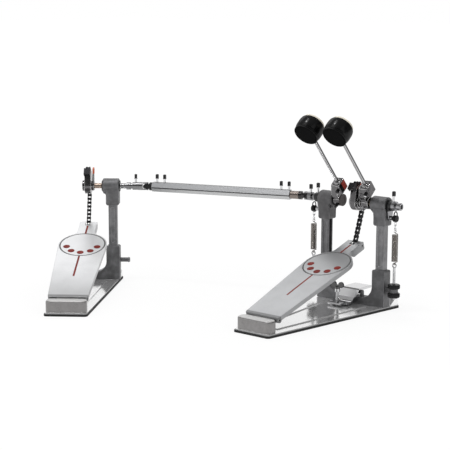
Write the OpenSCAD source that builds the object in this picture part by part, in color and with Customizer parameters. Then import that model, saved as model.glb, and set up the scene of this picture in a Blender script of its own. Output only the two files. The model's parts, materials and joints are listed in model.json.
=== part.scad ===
// Double bass drum pedal: a master pedal with two beaters, a slave pedal to its left,
// and a telescoping drive shaft with two universal joints between them.
// Frame: +Z up, +X to the player's right along the master axle, +Y towards the drum.
// The origin is on the floor under the master axle, on the centreline of the master footboard.

/* [Layout] */
// Height of both axles above the floor
axle_h = 240; // [234:1:250]
// Angle between the two pedals
splay = 38.2; // [30:0.2:44]
// Distance between the centres of the two universal joints
shaft_span = 412; // [380:1:480]
// Centre of the universal joint, to the left of the master centreline
main_joint_x = 145; // [143:1:160]
// Centre of the universal joint, to the right of the slave centreline
slave_joint_x = 143; // [138:1:160]
// Right post of the master, from the centreline
right_post_x = 69.5; // [68:0.5:72]
// Left post of the master, from the centreline
left_post_x = 84; // [84:0.5:86]
// Post of the slave, from its centreline
slave_post_x = 60; // [58:0.5:62]

/* [Base] */
// Heel edge of the base, behind the axle
heel_back = 377; // [370:1:390]
// Drum edge of the base, in front of the axle
base_front = 48; // [42:1:56]
// Half width of the base at the heel
heel_half = 49; // [47:1:54]
// Right corner of the master base at the drum edge
master_right = 91; // [88:1:96]
// Left corner of the master base at the drum edge
master_left = 105; // [102:1:112]
// Right corner of the slave base at the drum edge
slave_right = 78; // [77:0.5:86]
// Left corner of the slave base at the drum edge
slave_left = 58; // [54:1:64]
// Radius of the base corners
base_corner_r = 8; // [5:1:12]
// Thickness of the rubber mat
mat_t = 4.5; // [3:0.5:5]
// Thickness of the steel plate
plate_t = 3; // [3:0.5:4.5]
// Height of the pressed ribs on the plate
rib_h = 2; // [1:0.5:3]
// Height of the turned-up lip at the drum corners
lip_h = 14; // [8:1:18]

/* [Heel] */
// Width of the heel block
heel_w = 92; // [88:1:96]
// Depth of the heel block, front to back
heel_d = 29; // [24:1:29]
// Height of the top of the heel block above the floor
heel_top = 34; // [30:1:36]
// Radius of the heel block's upright corners
heel_corner_r = 12; // [8:1:13]
// Distance of the heel hinge behind the axle
hinge_back = 335.5; // [333:0.5:338]
// Height of the heel hinge above the floor
hinge_h = 32; // [31:0.5:34]
// Radius of the heel hinge pin
hinge_pin_r = 2.5; // [2:0.25:2.75]
// Radius of the knuckles round the hinge pin
knuckle_r = 6.2; // [5.8:0.1:6.6]
// Width of the lug between the knuckles
lug_w = 47; // [40:1:54]

/* [Footboard] */
// Half width of the footboard at the heel
board_heel_half = 45.4; // [43:0.1:47]
// Top face of the footboard above the line of its pins
board_top = 7; // [7:0.1:8]
// Thickness of the tread
tread_t = 2.5; // [2:0.1:2.5]
// Depth of the side walls below the top face
side_depth = 9.5; // [8:0.5:11]
// Thickness of the side walls
side_t = 3; // [2.5:0.1:4]
// Distance of the round tread's centre from the heel hinge
ring_centre = 237; // [230:1:242]
// Radius of the line round the tread
ring_r = 53.6; // [50:0.2:55]
// Radius of the shoulders of the board round the tread
shoulder_r = 58; // [57:0.2:61]
// Half width of the toe
toe_half = 21; // [19:0.5:24]
// Radius of the hollow between shoulder and toe
hollow_r = 22; // [16:1:26]
// Depth of the turned-down toe walls
toe_depth = 18; // [16:1:21]
// Number of grip dots
dot_count = 5; // [3:1:5]
// Radius of a grip dot
dot_r = 8; // [6:0.5:9]
// Distance of the dots from the centre of the tread
dot_ring_r = 38; // [36:0.5:40]

/* [Castings] */
// Width of the post feet
foot_w = 33; // [30:1:36]
// Depth of the feet and housings, front to back
casting_d = 25; // [24:0.5:28]
// Height of the top of the feet above the floor
foot_top = 92; // [86:1:98]
// Height of the top of the cross bar above the floor
bar_top = 24; // [20:1:24]
// Height of the top of the slave's cross bar above the floor
slave_bar_top = 26; // [24:1:34]
// Radius of the hollow between bar and foot
foot_hollow_r = 28; // [20:1:32]
// Depth of the post sockets in the feet
foot_socket = 36; // [28:1:44]
// Width of the posts
post_w = 21; // [20:0.5:23]
// Depth of the posts, front to back
post_d = 18; // [17:0.5:19]
// Width of the deep channel in the side of each post
channel_w = 10; // [8:0.5:11]
// Depth of that channel
channel_d = 12; // [8:0.5:13]
// Width of the shallow groove in the front of each post
groove_w = 9; // [6:0.5:11]
// Depth of that groove
groove_d = 1.5; // [1:0.1:2]
// Width of the stem of the bearing housings
stem_w = 32; // [30:0.5:34]
// Lower end of the stem, below the axle
stem_drop = 47; // [44:1:50]
// Depth of the post sockets in the stems
stem_socket = 22; // [16:1:24]
// Radius of the bearing barrels
barrel_r = 18.5; // [18:0.1:20]
// Length of the bearing barrels
barrel_len = 40; // [38:0.5:40]

/* [Axles] */
// Radius of the axles
axle_r = 6.5; // [6:0.1:7]
// Outer radius of the ball bearings
bearing_r = 12; // [11:0.5:13]
// Width of the ball bearings
bearing_w = 7; // [6:0.5:9]
// Right end of the master axle
axle_end_x = 119.5; // [118:0.5:126]
// Radius of the round nut on the main axle's right end
axle_nut_r = 8.5; // [8:0.5:10]
// Radius of the cam and beater hubs
hub_r = 14; // [13:0.5:15]

/* [Beaters] */
// Lean of the beaters back from upright, at rest
lean = 41; // [36:1:44]
// Right beater, from the master centreline
right_beater_x = 50.4; // [50:0.2:51]
// Left beater, to the left of the master centreline
left_beater_x = 26.1; // [25:0.1:26.4]
// Distance of the head's centre from the axle
head_reach = 228; // [210:1:240]
// Radius of the beater rods
rod_r = 4; // [3.5:0.1:4.5]
// Radius of the beater head
head_r = 30; // [26:0.5:31]
// Length of the head's shell
shell_len = 37; // [34:0.5:42]
// Thickness of the felt
felt_t = 5.5; // [5:0.5:10]
// Side of the square rod clamp
clamp_side = 26; // [24:0.5:28]
// Width of the rod clamp along the axle
clamp_w = 20; // [18:0.5:21]
// Distance of the rod clamp's centre from the axle
clamp_reach = 50; // [49:0.5:54]

/* [Chain and cam] */
// Pitch of the chain
pitch = 9.525; // [9:0.025:10]
// Radius of the chain line round the cam
chain_r = 25.5; // [25:0.1:26]
// Lean of the free chain towards the drum
chain_lean = 19; // [17:0.5:21]
// Links in the free chain
strand_links = 10; // [9:1:11]
// Links that lie straight up the cam
straight_links = 3; // [2:1:4]
// Links that bend over the top of the cam
top_links = 4; // [3:1:5]
// Height of a link plate
plate_h = 8.2; // [7.6:0.1:8.6]
// Thickness of a link plate
link_t = 1.1; // [0.9:0.05:1.2]
// Gap between the two inner plates of a link
inner_gap = 4.6; // [4:0.1:5]
// Radius of the chain pins
chain_pin_r = 1.5; // [1.3:0.05:1.7]
// Radius of the chain rollers
roller_r = 3; // [2.6:0.1:3.2]
// Width of the cam
cam_w = 15; // [13:0.5:16]

/* [Springs] */
// Right spring, from the master centreline
right_spring_x = 104.5; // [103:0.5:107]
// Left spring, to the left of the master centreline
left_spring_x = 121.8; // [121.6:0.2:124]
// Outer radius of the springs
spring_r = 7.3; // [6.5:0.1:8]
// Radius of the spring wire
wire_r = 0.85; // [0.7:0.05:0.9]
// Curls of each spring
curls = 28; // [20:1:32]
// Rise of one curl
curl_rise = 2.2; // [2.15:0.05:2.4]
// Height of the lower end of the spring's body above the floor
spring_foot = 115; // [112:1:118]
// Height of the hook balls below the axle
ball_drop = 27.5; // [26:0.5:29]
// Radius of the hook balls
ball_r = 7.5; // [6.5:0.5:8]
// Radius of the knurled nuts
nut_r = 13.5; // [11:0.5:14]
// Thickness of the knurled nuts
nut_t = 10; // [8:0.5:11]
// Height of the spring brackets above the floor
bracket_h = 44; // [42:1:46]
// Thickness of the spring brackets
bracket_t = 9; // [7:0.5:11]

/* [Drive shaft] */
// Width across the flats of the drive tube
tube_flats = 22.5; // [21:0.5:24]
// Width across the flats of the inner rod
rod_flats = 12; // [11:0.5:13]
// Length of the shank between tube and master universal joint
shank_len = 20.5; // [14:0.5:30]
// Radius of the shank and of the universal joints
joint_r = 10; // [9.5:0.1:10.5]
// Length of the inner rod inside the tube
rod_inside = 180; // [140:5:240]
// Radius of the cross pins
cross_pin_r = 2.4; // [2:0.1:2.6]

/* [Hoop clamp] */
// Centre of the hoop clamp, to the left of the centreline
clamp_x = 11; // [8:1:14]
// Width of the clamp jaws
jaw_w = 46; // [40:1:50]
// Gap between the jaws
jaw_gap = 22; // [18:1:24]
// Thickness of the jaws
jaw_t = 5; // [4:0.5:6]
// Distance of the clamp screw behind the axle
screw_back = 55; // [50:1:60]
// Radius of the clamp screw
screw_r = 3.5; // [3:0.25:4]

/* [Clearances] */
// Radial clearance of the running fits
run = 0.05; // [0.03:0.01:0.08]
// Clearance between seated or facing pieces
gap = 0.3; // [0.2:0.05:0.4]

/* [Hidden] */
$fn = 48;

floor_top = mat_t + plate_t;
shaft_turn = splay / 2;
slave_pos = [
    -main_joint_x - shaft_span * cos(shaft_turn) - slave_joint_x * cos(splay),
    -shaft_span * sin(shaft_turn) - slave_joint_x * sin(splay)];

// The free chain runs straight from the toe pin to where it meets the cam.
meet = [chain_r * cos(chain_lean), -chain_r * sin(chain_lean)];
strand_len = strand_links * pitch;
toe_pin_y = meet[0] - strand_len * sin(chain_lean);
toe_pin_z = axle_h + meet[1] - strand_len * cos(chain_lean);
board_len = norm([toe_pin_y + hinge_back, toe_pin_z - hinge_h]);
board_slope = atan2(toe_pin_z - hinge_h, toe_pin_y + hinge_back);
board_end = board_len + 7;
link_turn = 2 * asin(pitch / (2 * chain_r));
top_turn = 30;
plate_gap = 0.2;
outer_in = inner_gap / 2 + link_t + plate_gap;
outer_out = outer_in + link_t;
pin_end = outer_out + 0.6;

stem_bottom = axle_h - stem_drop;
stem_right = stem_w / 2;
flange_t = 2.2;
flange_r = bearing_r + 1.5;
// Outer faces of the master's housings, and the faces and collar ends of its rockers.
right_outer = right_post_x + stem_right;
left_outer = -left_post_x - stem_right;
right_plate = right_outer + flange_t + 4;
left_plate = left_outer - flange_t - 4;
right_collar = right_plate + 14;
left_collar = left_plate - 9;
seat = 0.05;
ear_in = 6.5;
ear_t = 3.2;
ear_half = 5;
ear_len = 10;
yoke_len = 18;
axle_yoke_len = 19;
cross_r = 5.4;
screw_head = 6;
screw_tall = 9.5;
screw_neck = 2.8;
board_hinge_gap = 1;
lug_r = board_top - tread_t - gap;
tube_start = yoke_len + shank_len + gap;
tube_end = shaft_span - yoke_len;
hub_w = 18;
hub_off = 22;
ball_w = 8;
jaw_low = floor_top + 6;
jaw_high = jaw_low + jaw_gap;
pivot_y = 6;
pivot_z = 31.5;
pivot_r = 5;
peg_h = 56;
peg_r = 5.5;
eye_h = spring_foot - 9;
ball_h = axle_h - ball_drop;
spring_mean = spring_r - wire_r;

// Places
module at_axle() {
    translate([0, 0, axle_h]) children();
}
module along_rod() {
    at_axle() rotate([lean, 0, 0]) children();
}
module at_slave() {
    translate([slave_pos[0], slave_pos[1], 0]) rotate([0, 0, splay]) children();
}
module along_shaft() {
    translate([-main_joint_x, 0, axle_h]) rotate([0, 0, 180 + shaft_turn]) children();
}
module on_board() {
    translate([0, -hinge_back, hinge_h]) rotate([board_slope, 0, 0]) children();
}
module on_both(left, right) {
    translate([-left, 0, 0]) children();
    translate([right, 0, 0]) children();
}

// Shapes
module bar_x(r, x0, x1) {
    translate([x0, 0, 0]) rotate([0, 90, 0]) cylinder(r = r, h = x1 - x0);
}
module side_plate(x0, x1) {
    translate([x0, 0, 0]) rotate([90, 0, 90]) linear_extrude(x1 - x0) children();
}
module front_plate(y0, y1) {
    translate([0, y1, 0]) rotate([90, 0, 0]) linear_extrude(y1 - y0) children();
}
module soft_rect(x0, y0, x1, y1, r) {
    translate([x0 + r, y0]) square([x1 - x0 - 2 * r, y1 - y0]);
    translate([x0, y0 + r]) square([x1 - x0, y1 - y0 - 2 * r]);
    for (x = [x0 + r, x1 - r], y = [y0 + r, y1 - r]) translate([x, y]) circle(r = r);
}
module square_screw(x, z0, neck) {
    translate([x, 0, z0]) {
        cylinder(r = screw_neck, h = neck);
        translate([0, 0, neck - 1.6]) cylinder(r = screw_neck + 1.3, h = 1.6);
        translate([0, 0, neck + screw_tall - 0.1]) cylinder(r1 = screw_head / 2, r2 = screw_head / 2 - 1, h = 0.8);
        translate([-screw_head / 2, -screw_head / 2, neck]) cube([screw_head, screw_head, screw_tall]);
    }
}

// Base
module base_outline(left, right, inset) {
    r = base_corner_r;
    hull() {
        for (s = [-1, 1]) translate([s * (heel_half - r), -heel_back + r]) circle(r = r - inset);
        translate([right - r, base_front - r]) circle(r = r - inset);
        translate([-left + r, base_front - r]) circle(r = r - inset);
    }
}
module mat(left, right) {
    color([0.07, 0.07, 0.07]) linear_extrude(mat_t) base_outline(left, right, 0);
}
module rib(x0, y0, x1, y1) {
    turn = atan2(y1 - y0, x1 - x0);
    len = norm([x1 - x0, y1 - y0]);
    translate([x0, y0, floor_top]) rotate([0, 0, turn]) {
        front_plate(-3, 3) polygon([[0, 0], [len, 0], [len - 2 * rib_h, rib_h], [2 * rib_h, rib_h]]);
    }
}
module lip(left, right, edge) {
    intersection() {
        difference() {
            translate([0, 0, mat_t]) linear_extrude(plate_t + lip_h) base_outline(left, right, 1.5);
            linear_extrude(floor_top + lip_h + 1) base_outline(left, right, 3.5);
        }
        side_plate(edge, right + 1) polygon([
            [casting_d / 2 + 1, 0], [casting_d / 2 + 1, floor_top], [casting_d / 2 + 16, floor_top + lip_h],
            [base_front + 1, floor_top + lip_h], [base_front + 1, 0]]);
    }
}
module base_plate(left, right, left_ribs, right_ribs) {
    color([0.82, 0.83, 0.84]) {
        translate([0, 0, mat_t]) linear_extrude(plate_t) base_outline(left, right, 1.5);
        rib(right_ribs[0], 8 - hinge_back, right_ribs[1], -casting_d / 2 - 12);
        rib(-left_ribs[0], 8 - hinge_back, -left_ribs[1], -casting_d / 2 - 12);
        lip(left, right, right - 26);
    }
}
module heel_block() {
    y0 = -hinge_back - knuckle_r - board_hinge_gap - heel_d;
    r = heel_corner_r;
    color([0.62, 0.60, 0.60]) {
        hull() {
            for (x = [r - heel_w / 2, heel_w / 2 - r], y = [y0 + r, y0 + heel_d - r]) {
                translate([x, y, floor_top]) cylinder(r = r, h = heel_top - floor_top - 3, $fn = 32);
                translate([x, y, floor_top]) cylinder(r = r - 2.5, h = heel_top - floor_top, $fn = 32);
            }
        }
        difference() {
            union() {
                translate([-lug_w / 2, -hinge_back, hinge_h]) bar_x(lug_r, 0, lug_w);
                translate([-lug_w / 2, y0 + heel_d - 8, hinge_h - lug_r]) {
                    cube([lug_w, 8 + knuckle_r + board_hinge_gap, heel_top - hinge_h + lug_r - 1]);
                }
            }
            translate([-lug_w, -hinge_back, hinge_h]) bar_x(hinge_pin_r + run, 0, 2 * lug_w);
        }
    }
}
module heel_pin() {
    reach = board_heel_half - 2.5;
    color([0.75, 0.75, 0.76]) translate([0, -hinge_back, hinge_h]) bar_x(hinge_pin_r, -reach, reach);
}

// Castings and posts
module foot_profile(x) {
    soft_rect(x - foot_w / 2, floor_top, x + foot_w / 2, foot_top, 4);
    translate([x - foot_w / 2, floor_top]) square([foot_w, 8]);
}
module inner_hollow(x, side, z0) {
    inner = x - side * foot_w / 2;
    r = foot_hollow_r;
    difference() {
        translate([side > 0 ? inner - r : inner, z0 - 1]) square([r, r + 1]);
        translate([inner - side * r, z0 + r]) circle(r = r);
    }
}
module post_pocket(x, z0, depth) {
    w = post_w + 2 * seat;
    d = post_d + 2 * seat;
    translate([x - w / 2, -d / 2, z0]) cube([w, d, depth]);
}
module master_foot_casting() {
    color([0.40, 0.40, 0.41]) difference() {
        union() {
            front_plate(-casting_d / 2, casting_d / 2) {
                foot_profile(right_post_x);
                foot_profile(-left_post_x);
                inner_hollow(right_post_x, 1, bar_top);
                inner_hollow(-left_post_x, -1, bar_top);
                translate([-left_post_x, floor_top]) square([left_post_x + right_post_x, bar_top - floor_top]);
            }
            for (s = [-1, 1]) side_plate(-clamp_x + s * (jaw_w / 2 + 2 + gap) - 2, -clamp_x + s * (jaw_w / 2 + 2 + gap) + 2) {
                translate([pivot_y, pivot_z]) circle(r = pivot_r);
                translate([pivot_y - pivot_r, bar_top - 1]) square([2 * pivot_r, pivot_z - bar_top + 1]);
            }
            translate([0, pivot_y, pivot_z]) bar_x(2.5, -clamp_x - jaw_w / 2 - 3, -clamp_x + jaw_w / 2 + 3);
        }
        post_pocket(right_post_x, foot_top - foot_socket, foot_socket + 1);
        post_pocket(-left_post_x, foot_top - foot_socket, foot_socket + 1);
    }
}
module slave_foot_casting() {
    left = slave_left - 4;
    face = slave_post_x + foot_w / 2;
    color([0.40, 0.40, 0.41]) difference() {
        union() {
            front_plate(-casting_d / 2, casting_d / 2) {
                foot_profile(slave_post_x);
                inner_hollow(slave_post_x, 1, slave_bar_top);
                soft_rect(-left, floor_top, slave_post_x, slave_bar_top, 3);
                translate([-left, floor_top]) square([left + slave_post_x, 8]);
            }
            translate([0, 0, peg_h]) bar_x(peg_r, face - 1, face + 24);
            translate([0, 0, peg_h]) bar_x(peg_r + 1, face + 20, face + 22);
        }
        post_pocket(slave_post_x, foot_top - foot_socket, foot_socket + 1);
    }
}
module post(x, side) {
    z0 = foot_top - foot_socket + gap;
    z1 = stem_bottom + stem_socket - gap;
    color([0.43, 0.43, 0.44]) difference() {
        translate([x, 0, z0]) linear_extrude(z1 - z0) {
            soft_rect(-post_w / 2, -post_d / 2, post_w / 2, post_d / 2, 1.5);
        }
        translate([x + side * (post_w / 2 - channel_d / 2 + 0.5), 0, (z0 + z1) / 2]) {
            cube([channel_d + 1, channel_w, z1 - z0 + 2], center = true);
        }
        front_plate(-post_d / 2 - 1, groove_d - post_d / 2) {
            soft_rect(x - groove_w / 2, foot_top + 8, x + groove_w / 2, stem_bottom - 5, groove_w / 2 - 0.01);
        }
    }
}
// The barrel ends flush with the outer face of the stem and reaches past its inner face.
function barrel_low(x, side) = side > 0 ? x + stem_right - barrel_len : x - stem_right;
function barrel_high(x, side) = side > 0 ? x + stem_right : x - stem_right + barrel_len;
module soft_barrel(r, x0, x1, edge) {
    len = x1 - x0;
    translate([x0, 0, 0]) rotate([0, 90, 0]) rotate_extrude($fn = 64) polygon([
        [0, 0], [r - edge, 0], [r - edge * 0.3, edge * 0.3], [r, edge],
        [r, len - edge], [r - edge * 0.3, len - edge * 0.3], [r - edge, len], [0, len]]);
}
module barrel_fillet(face, side) {
    f = 6;
    difference() {
        translate([side > 0 ? face - f : face, 0.5 - barrel_r - f]) square([f, f + 3]);
        translate([face - side * f, 0.5 - barrel_r - f]) circle(r = f);
    }
}
module housing(x, side) {
    low = barrel_low(x, side);
    high = barrel_high(x, side);
    half = casting_d / 2;
    color([0.42, 0.42, 0.43]) difference() {
        union() {
            at_axle() soft_barrel(barrel_r, low, high, 2.5);
            front_plate(-half, half) soft_rect(x - stem_right, stem_bottom, x + stem_right, axle_h, 5);
            at_axle() side_plate(x - stem_right + 1, x + stem_right - 1) polygon([
                [-half, -38], [half, -38], [barrel_r * 0.9, -8], [-barrel_r * 0.9, -8]]);
            at_axle() front_plate(-9, 9) barrel_fillet(x - side * stem_right, side);
        }
        at_axle() bar_x(axle_r + 1.5, low - 1, high + 1);
        at_axle() bar_x(bearing_r + seat, low - 1, low + bearing_w);
        at_axle() bar_x(bearing_r + seat, high - bearing_w, high + 1);
        post_pocket(x, stem_bottom - 1, stem_socket + 1);
    }
}
module bearing(x, side) {
    inner = x - side * (bearing_w - gap);
    color([0.10, 0.10, 0.11]) at_axle() difference() {
        union() {
            bar_x(bearing_r, min(x, inner), max(x, inner));
            bar_x(flange_r, min(x, x + side * flange_t), max(x, x + side * flange_t));
        }
        bar_x(axle_r + run, x - 20, x + 20);
    }
}
module housing_bearings(x, side) {
    bearing(barrel_low(x, side), -1);
    bearing(barrel_high(x, side), 1);
}

// Springs and what holds them
module bracket(foot_face, x, side) {
    color([0.42, 0.42, 0.43]) difference() {
        translate([0, 0, bracket_h]) linear_extrude(bracket_t) {
            translate([x, 0]) circle(r = nut_r - 4);
            translate([min(foot_face, x), -6]) square([abs(x - foot_face), 12]);
        }
        translate([x, 0, 0]) cylinder(r = 3 + run + 0.1, h = 100);
    }
}
module eye_bolt(x) {
    color([0.70, 0.70, 0.71]) translate([x, 0, 0]) {
        translate([0, 0, bracket_h - nut_t - 6]) cylinder(r = 3, h = eye_h - 4.5 - bracket_h + nut_t + 6);
        translate([0, 0, eye_h]) rotate([90, 0, 0]) rotate_extrude() translate([4.6, 0]) circle(r = 1.5, $fn = 24);
    }
}
module knurled_nut(x, z) {
    color([0.06, 0.06, 0.06]) difference() {
        translate([x, 0, z]) union() {
            translate([0, 0, 1.5]) cylinder(r = nut_r, h = nut_t - 3);
            cylinder(r = nut_r - 1.2, h = nut_t);
        }
        translate([x, 0, z - 1]) cylinder(r = 3 + run, h = nut_t + 2);
        for (k = [0:17]) translate([x, 0, z]) rotate([0, 0, k * 20]) {
            translate([nut_r + 0.4, 0, -1]) cylinder(r = 1.1, h = nut_t + 2, $fn = 16);
        }
    }
}
// A wound spring: one tube along its lower hook, its curls and its upper hook.
low_r = 3;
low_z = eye_h + 4.6;
top_r = 5 + wire_r + gap;
body_top = spring_foot + curls * curl_rise;
tangent = asin(top_r / (ball_h - body_top - 5));
lower_path = [
    for (k = [0:10]) [0, low_r * cos(130 + k * 29), low_z + low_r * sin(130 + k * 29)],
    [spring_mean * 0.4, -1.6, low_z + 3.3],
    [spring_mean * 0.8, -2.6, low_z + 3.9]];
coil_path = [
    for (k = [0:curls * 8]) [
        spring_mean * cos(k * 45), spring_mean * sin(k * 45), spring_foot + curl_rise * k / 8]];
upper_path = [
    [spring_mean * 0.8, 3.2, body_top + 0.8],
    [spring_mean * 0.35, 2.2, body_top + 1.7],
    [0, 0, body_top + 4.2],
    for (k = [0:9]) let (a = k * 28 - tangent) [0, top_r * cos(a), ball_h + top_r * sin(a)]];
wire_path = concat(lower_path, coil_path, upper_path);
wire_n = len(wire_path);
function unit(v) = v / norm(v);
wire_way = [for (i = [0:wire_n - 1]) unit(
    wire_path[min(i + 1, wire_n - 1)] - wire_path[max(i - 1, 0)])];
// The side vector is carried along the wire, so that the tube never twists.
wire_side = [for (i = 0, u = [1, 0, 0]; i < wire_n;
    i = i + 1,
    u = i < wire_n ? unit(u - (u * wire_way[i]) * wire_way[i]) : u) u];
wire_rings = [for (i = [0:wire_n - 1], j = [0:5])
    let (u = unit(wire_side[i] - (wire_side[i] * wire_way[i]) * wire_way[i]), v = cross(wire_way[i], u))
    wire_path[i] + wire_r * (cos(j * 60) * u + sin(j * 60) * v)];
wire_faces = concat(
    [for (i = [0:wire_n - 2], j = [0:5]) [i * 6 + j, i * 6 + (j + 1) % 6, (i + 1) * 6 + j]],
    [for (i = [0:wire_n - 2], j = [0:5]) [i * 6 + (j + 1) % 6, (i + 1) * 6 + (j + 1) % 6, (i + 1) * 6 + j]],
    [for (j = [1:4]) [0, j + 1, j]],
    [for (j = [1:4]) [(wire_n - 1) * 6, (wire_n - 1) * 6 + j, (wire_n - 1) * 6 + j + 1]]);
wire_gap = min([for (i = [0:wire_n - 8]) min([
    for (j = [i + 5:wire_n - 1]) norm(wire_path[i] - wire_path[j])])]) - 2 * wire_r;
echo(least_gap_of_spring_wire = wire_gap);
module spring(x) {
    color([0.30, 0.28, 0.28]) translate([x, 0, 0]) polyhedron(points = wire_rings, faces = wire_faces);
}

// Axles, cams and what turns with them
module bored_x(r, bore, x0, x1) {
    difference() {
        bar_x(r, x0, x1);
        bar_x(bore, x0 - 1, x1 + 1);
    }
}
cam_left = -14;
cam_right = 15;
wrap_start = 2 * link_turn - chain_lean;
function lean_way(a) = [-sin(a), cos(a)];
function lean_out(a) = [cos(a), sin(a)];
wrap_foot = chain_r * lean_out(wrap_start);
wrap_knee = wrap_foot + straight_links * pitch * lean_way(wrap_start);
first_lean = wrap_start + top_turn;
knee_r = pitch / 2 / tan(top_turn / 2);
// Centre of the round top of the cam, from which the bent links lie at one distance
cam_top = wrap_knee + pitch / 2 * lean_way(first_lean) - knee_r * lean_out(first_lean);
// Lower round of the cam, clear of the links that leave it during a stroke
cam_low_r = chain_r - plate_h / 2 - 1.8;
cam_top_r = knee_r - plate_h / 2 - 0.4;
function link_lean(k) = k < straight_links ? wrap_start : wrap_start + (k - straight_links + 1) * top_turn;
function link_foot(k) = k == 0 ? wrap_foot : link_foot(k - 1) + pitch * lean_way(link_lean(k - 1));
last_link = straight_links + top_links - 1;

module cam() {
    s = cam_w / 2;
    color([0.45, 0.45, 0.46]) at_axle() difference() {
        union() {
            bar_x(hub_r - 1, cam_left, -s + 1);
            bar_x(hub_r - 2, s - 1, cam_right);
            side_plate(-s, s) {
                circle(r = cam_low_r);
                translate(cam_top) circle(r = cam_top_r);
                cam_flank();
            }
            side_plate(cam_right - 4, cam_right - 0.5) {
                polygon([[-10, 4], [10, 4], [7, 26], [9, 39], [3, 45], [-5, 42], [-8, 24]]);
            }
        }
        bar_x(axle_r + seat, -30, 30);
    }
}
// The flat flanks of the cam, which touch both of its rounds
module cam_flank() {
    r0 = cam_low_r;
    d = norm(cam_top);
    a = atan2(cam_top[1], cam_top[0]);
    b = acos((r0 - cam_top_r) / d);
    polygon([
        r0 * lean_out(a - b), cam_top + cam_top_r * lean_out(a - b),
        cam_top + cam_top_r * lean_out(a + b), r0 * lean_out(a + b)]);
}

// Chain. A link lies along +Y from its pin at the origin.
module link_outline() {
    circle(r = plate_h / 2);
    translate([pitch, 0]) circle(r = plate_h / 2);
    translate([0, -plate_h / 2 + 1]) square([pitch, plate_h - 2]);
}
module link_plate(x) {
    side_plate(x, x + link_t) link_outline();
}
module inner_link() {
    difference() {
        union() {
            link_plate(inner_gap / 2);
            link_plate(-inner_gap / 2 - link_t);
            for (y = [0, pitch]) translate([0, y, 0]) bar_x(roller_r, -inner_gap / 2 - 0.1, inner_gap / 2 + 0.1);
        }
        for (y = [0, pitch]) translate([0, y, 0]) bar_x(chain_pin_r + run, -pin_end, pin_end);
    }
}
module outer_link(pins) {
    link_plate(outer_in);
    link_plate(-outer_out);
    for (y = pins) translate([0, y, 0]) bar_x(chain_pin_r, -pin_end, pin_end);
}
module pin_stubs(y) {
    translate([0, y, 0]) {
        bar_x(chain_pin_r, outer_in + 0.1, pin_end);
        bar_x(chain_pin_r, -pin_end, -outer_in - 0.1);
    }
}
// Puts a link at a point of the side view, leaning back from upright.
module at_link(p, a) {
    translate([0, p[0], p[1]]) rotate([90 + a, 0, 0]) children();
}
module free_chain() {
    color([0.16, 0.16, 0.17]) {
        for (k = [0:strand_links - 1]) {
            at_link([toe_pin_y, toe_pin_z] + k * pitch * lean_way(-chain_lean), -chain_lean) {
                if (k % 2 == 0) inner_link();
                if (k % 2 == 1) outer_link([0, pitch]);
            }
        }
        translate([0, toe_pin_y, toe_pin_z]) {
            bar_x(chain_pin_r, -outer_out - 0.3, outer_out + 0.3);
            bar_x(2.4, outer_in, toe_half - 0.3);
            bar_x(2.4, -toe_half + 0.3, -outer_in);
        }
    }
}
module chain_pair() {
    color([0.16, 0.16, 0.17]) at_axle() {
        at_link(chain_r * lean_out(-chain_lean), link_turn / 2 - chain_lean) inner_link();
        at_link(chain_r * lean_out(link_turn - chain_lean), 1.5 * link_turn - chain_lean) {
            outer_link([0]);
            pin_stubs(pitch);
        }
    }
}
module chain_wrap() {
    color([0.16, 0.16, 0.17]) at_axle() {
        for (k = [0:last_link]) at_link(link_foot(k), link_lean(k)) {
            if (k % 2 == 0) inner_link();
            if (k % 2 == 1) outer_link([0, pitch]);
        }
        translate([0, wrap_foot[0], wrap_foot[1]]) bar_x(chain_pin_r, -inner_gap / 2 - link_t, inner_gap / 2 + link_t);
        at_link(link_foot(last_link), link_lean(last_link)) {
            translate([0, pitch, 0]) bar_x(chain_pin_r, -pin_end - 1.2, pin_end + 1.2);
            for (s = [-1, 1]) side_plate(s > 0 ? pin_end + 0.3 : -pin_end - 2.3, s > 0 ? pin_end + 2.3 : -pin_end - 0.3) {
                translate([-2, -8.2]) square([pitch + 7, 11.2]);
            }
            side_plate(-pin_end - 2.3, pin_end + 2.3) translate([-2, -8.2]) square([pitch + 7, 3]);
        }
    }
}

// Beaters
module beater_clamp(x) {
    hx = x - hub_off;
    c = clamp_w / 2;
    color([0.40, 0.40, 0.41]) along_rod() difference() {
        union() {
            bar_x(hub_r, hx - hub_w / 2, hx + hub_w / 2);
            front_plate(-9, 9) polygon([
                [hx - 8, 0], [hx + 8, 0], [hx + 8, 22], [x - c + 1, clamp_reach - 11], [x - c + 1, clamp_reach + 11],
                [x - c - 4, clamp_reach + 11], [hx - 8, 26]]);
            translate([0, 0, clamp_reach - clamp_side / 2]) linear_extrude(clamp_side) {
                soft_rect(x - c, -clamp_side / 2, x + c, clamp_side / 2, 2.5);
            }
            translate([x, 0, clamp_reach + clamp_side / 2 - 1]) cylinder(r = 7.5, h = 3);
            translate([x, 0, clamp_reach + clamp_side / 2 + 1.9]) cylinder(r1 = 7.5, r2 = 6, h = 1.2);
        }
        bar_x(axle_r + seat, hx - 20, hx + 20);
        translate([hx, -hub_r + 0.8, 0]) rotate([90, 0, 0]) cylinder(r = 5.2, h = 5);
        translate([x, 0, clamp_reach - 30]) cylinder(r = rod_r + run, h = 60);
    }
}
module clamp_keys(x) {
    hx = x - hub_off;
    color([0.10, 0.10, 0.11]) along_rod() {
        translate([hx, -hub_r + 0.8, 0]) rotate([90, 0, 0]) {
            cylinder(r = 4.2, h = 5);
            translate([0, 0, 5]) cylinder(r = 3.2, h = 5);
        }
        translate([x, -clamp_side / 2, clamp_reach - 4]) rotate([90, 0, 0]) cylinder(r = 4, h = 4.5);
    }
}
module rod(x) {
    color([0.78, 0.78, 0.79]) along_rod() translate([x, 0, 0]) {
        translate([0, 0, clamp_reach - clamp_side / 2 - 4]) cylinder(r = rod_r, h = head_reach + 10 - clamp_reach + clamp_side / 2 + 4);
    }
}
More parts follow.
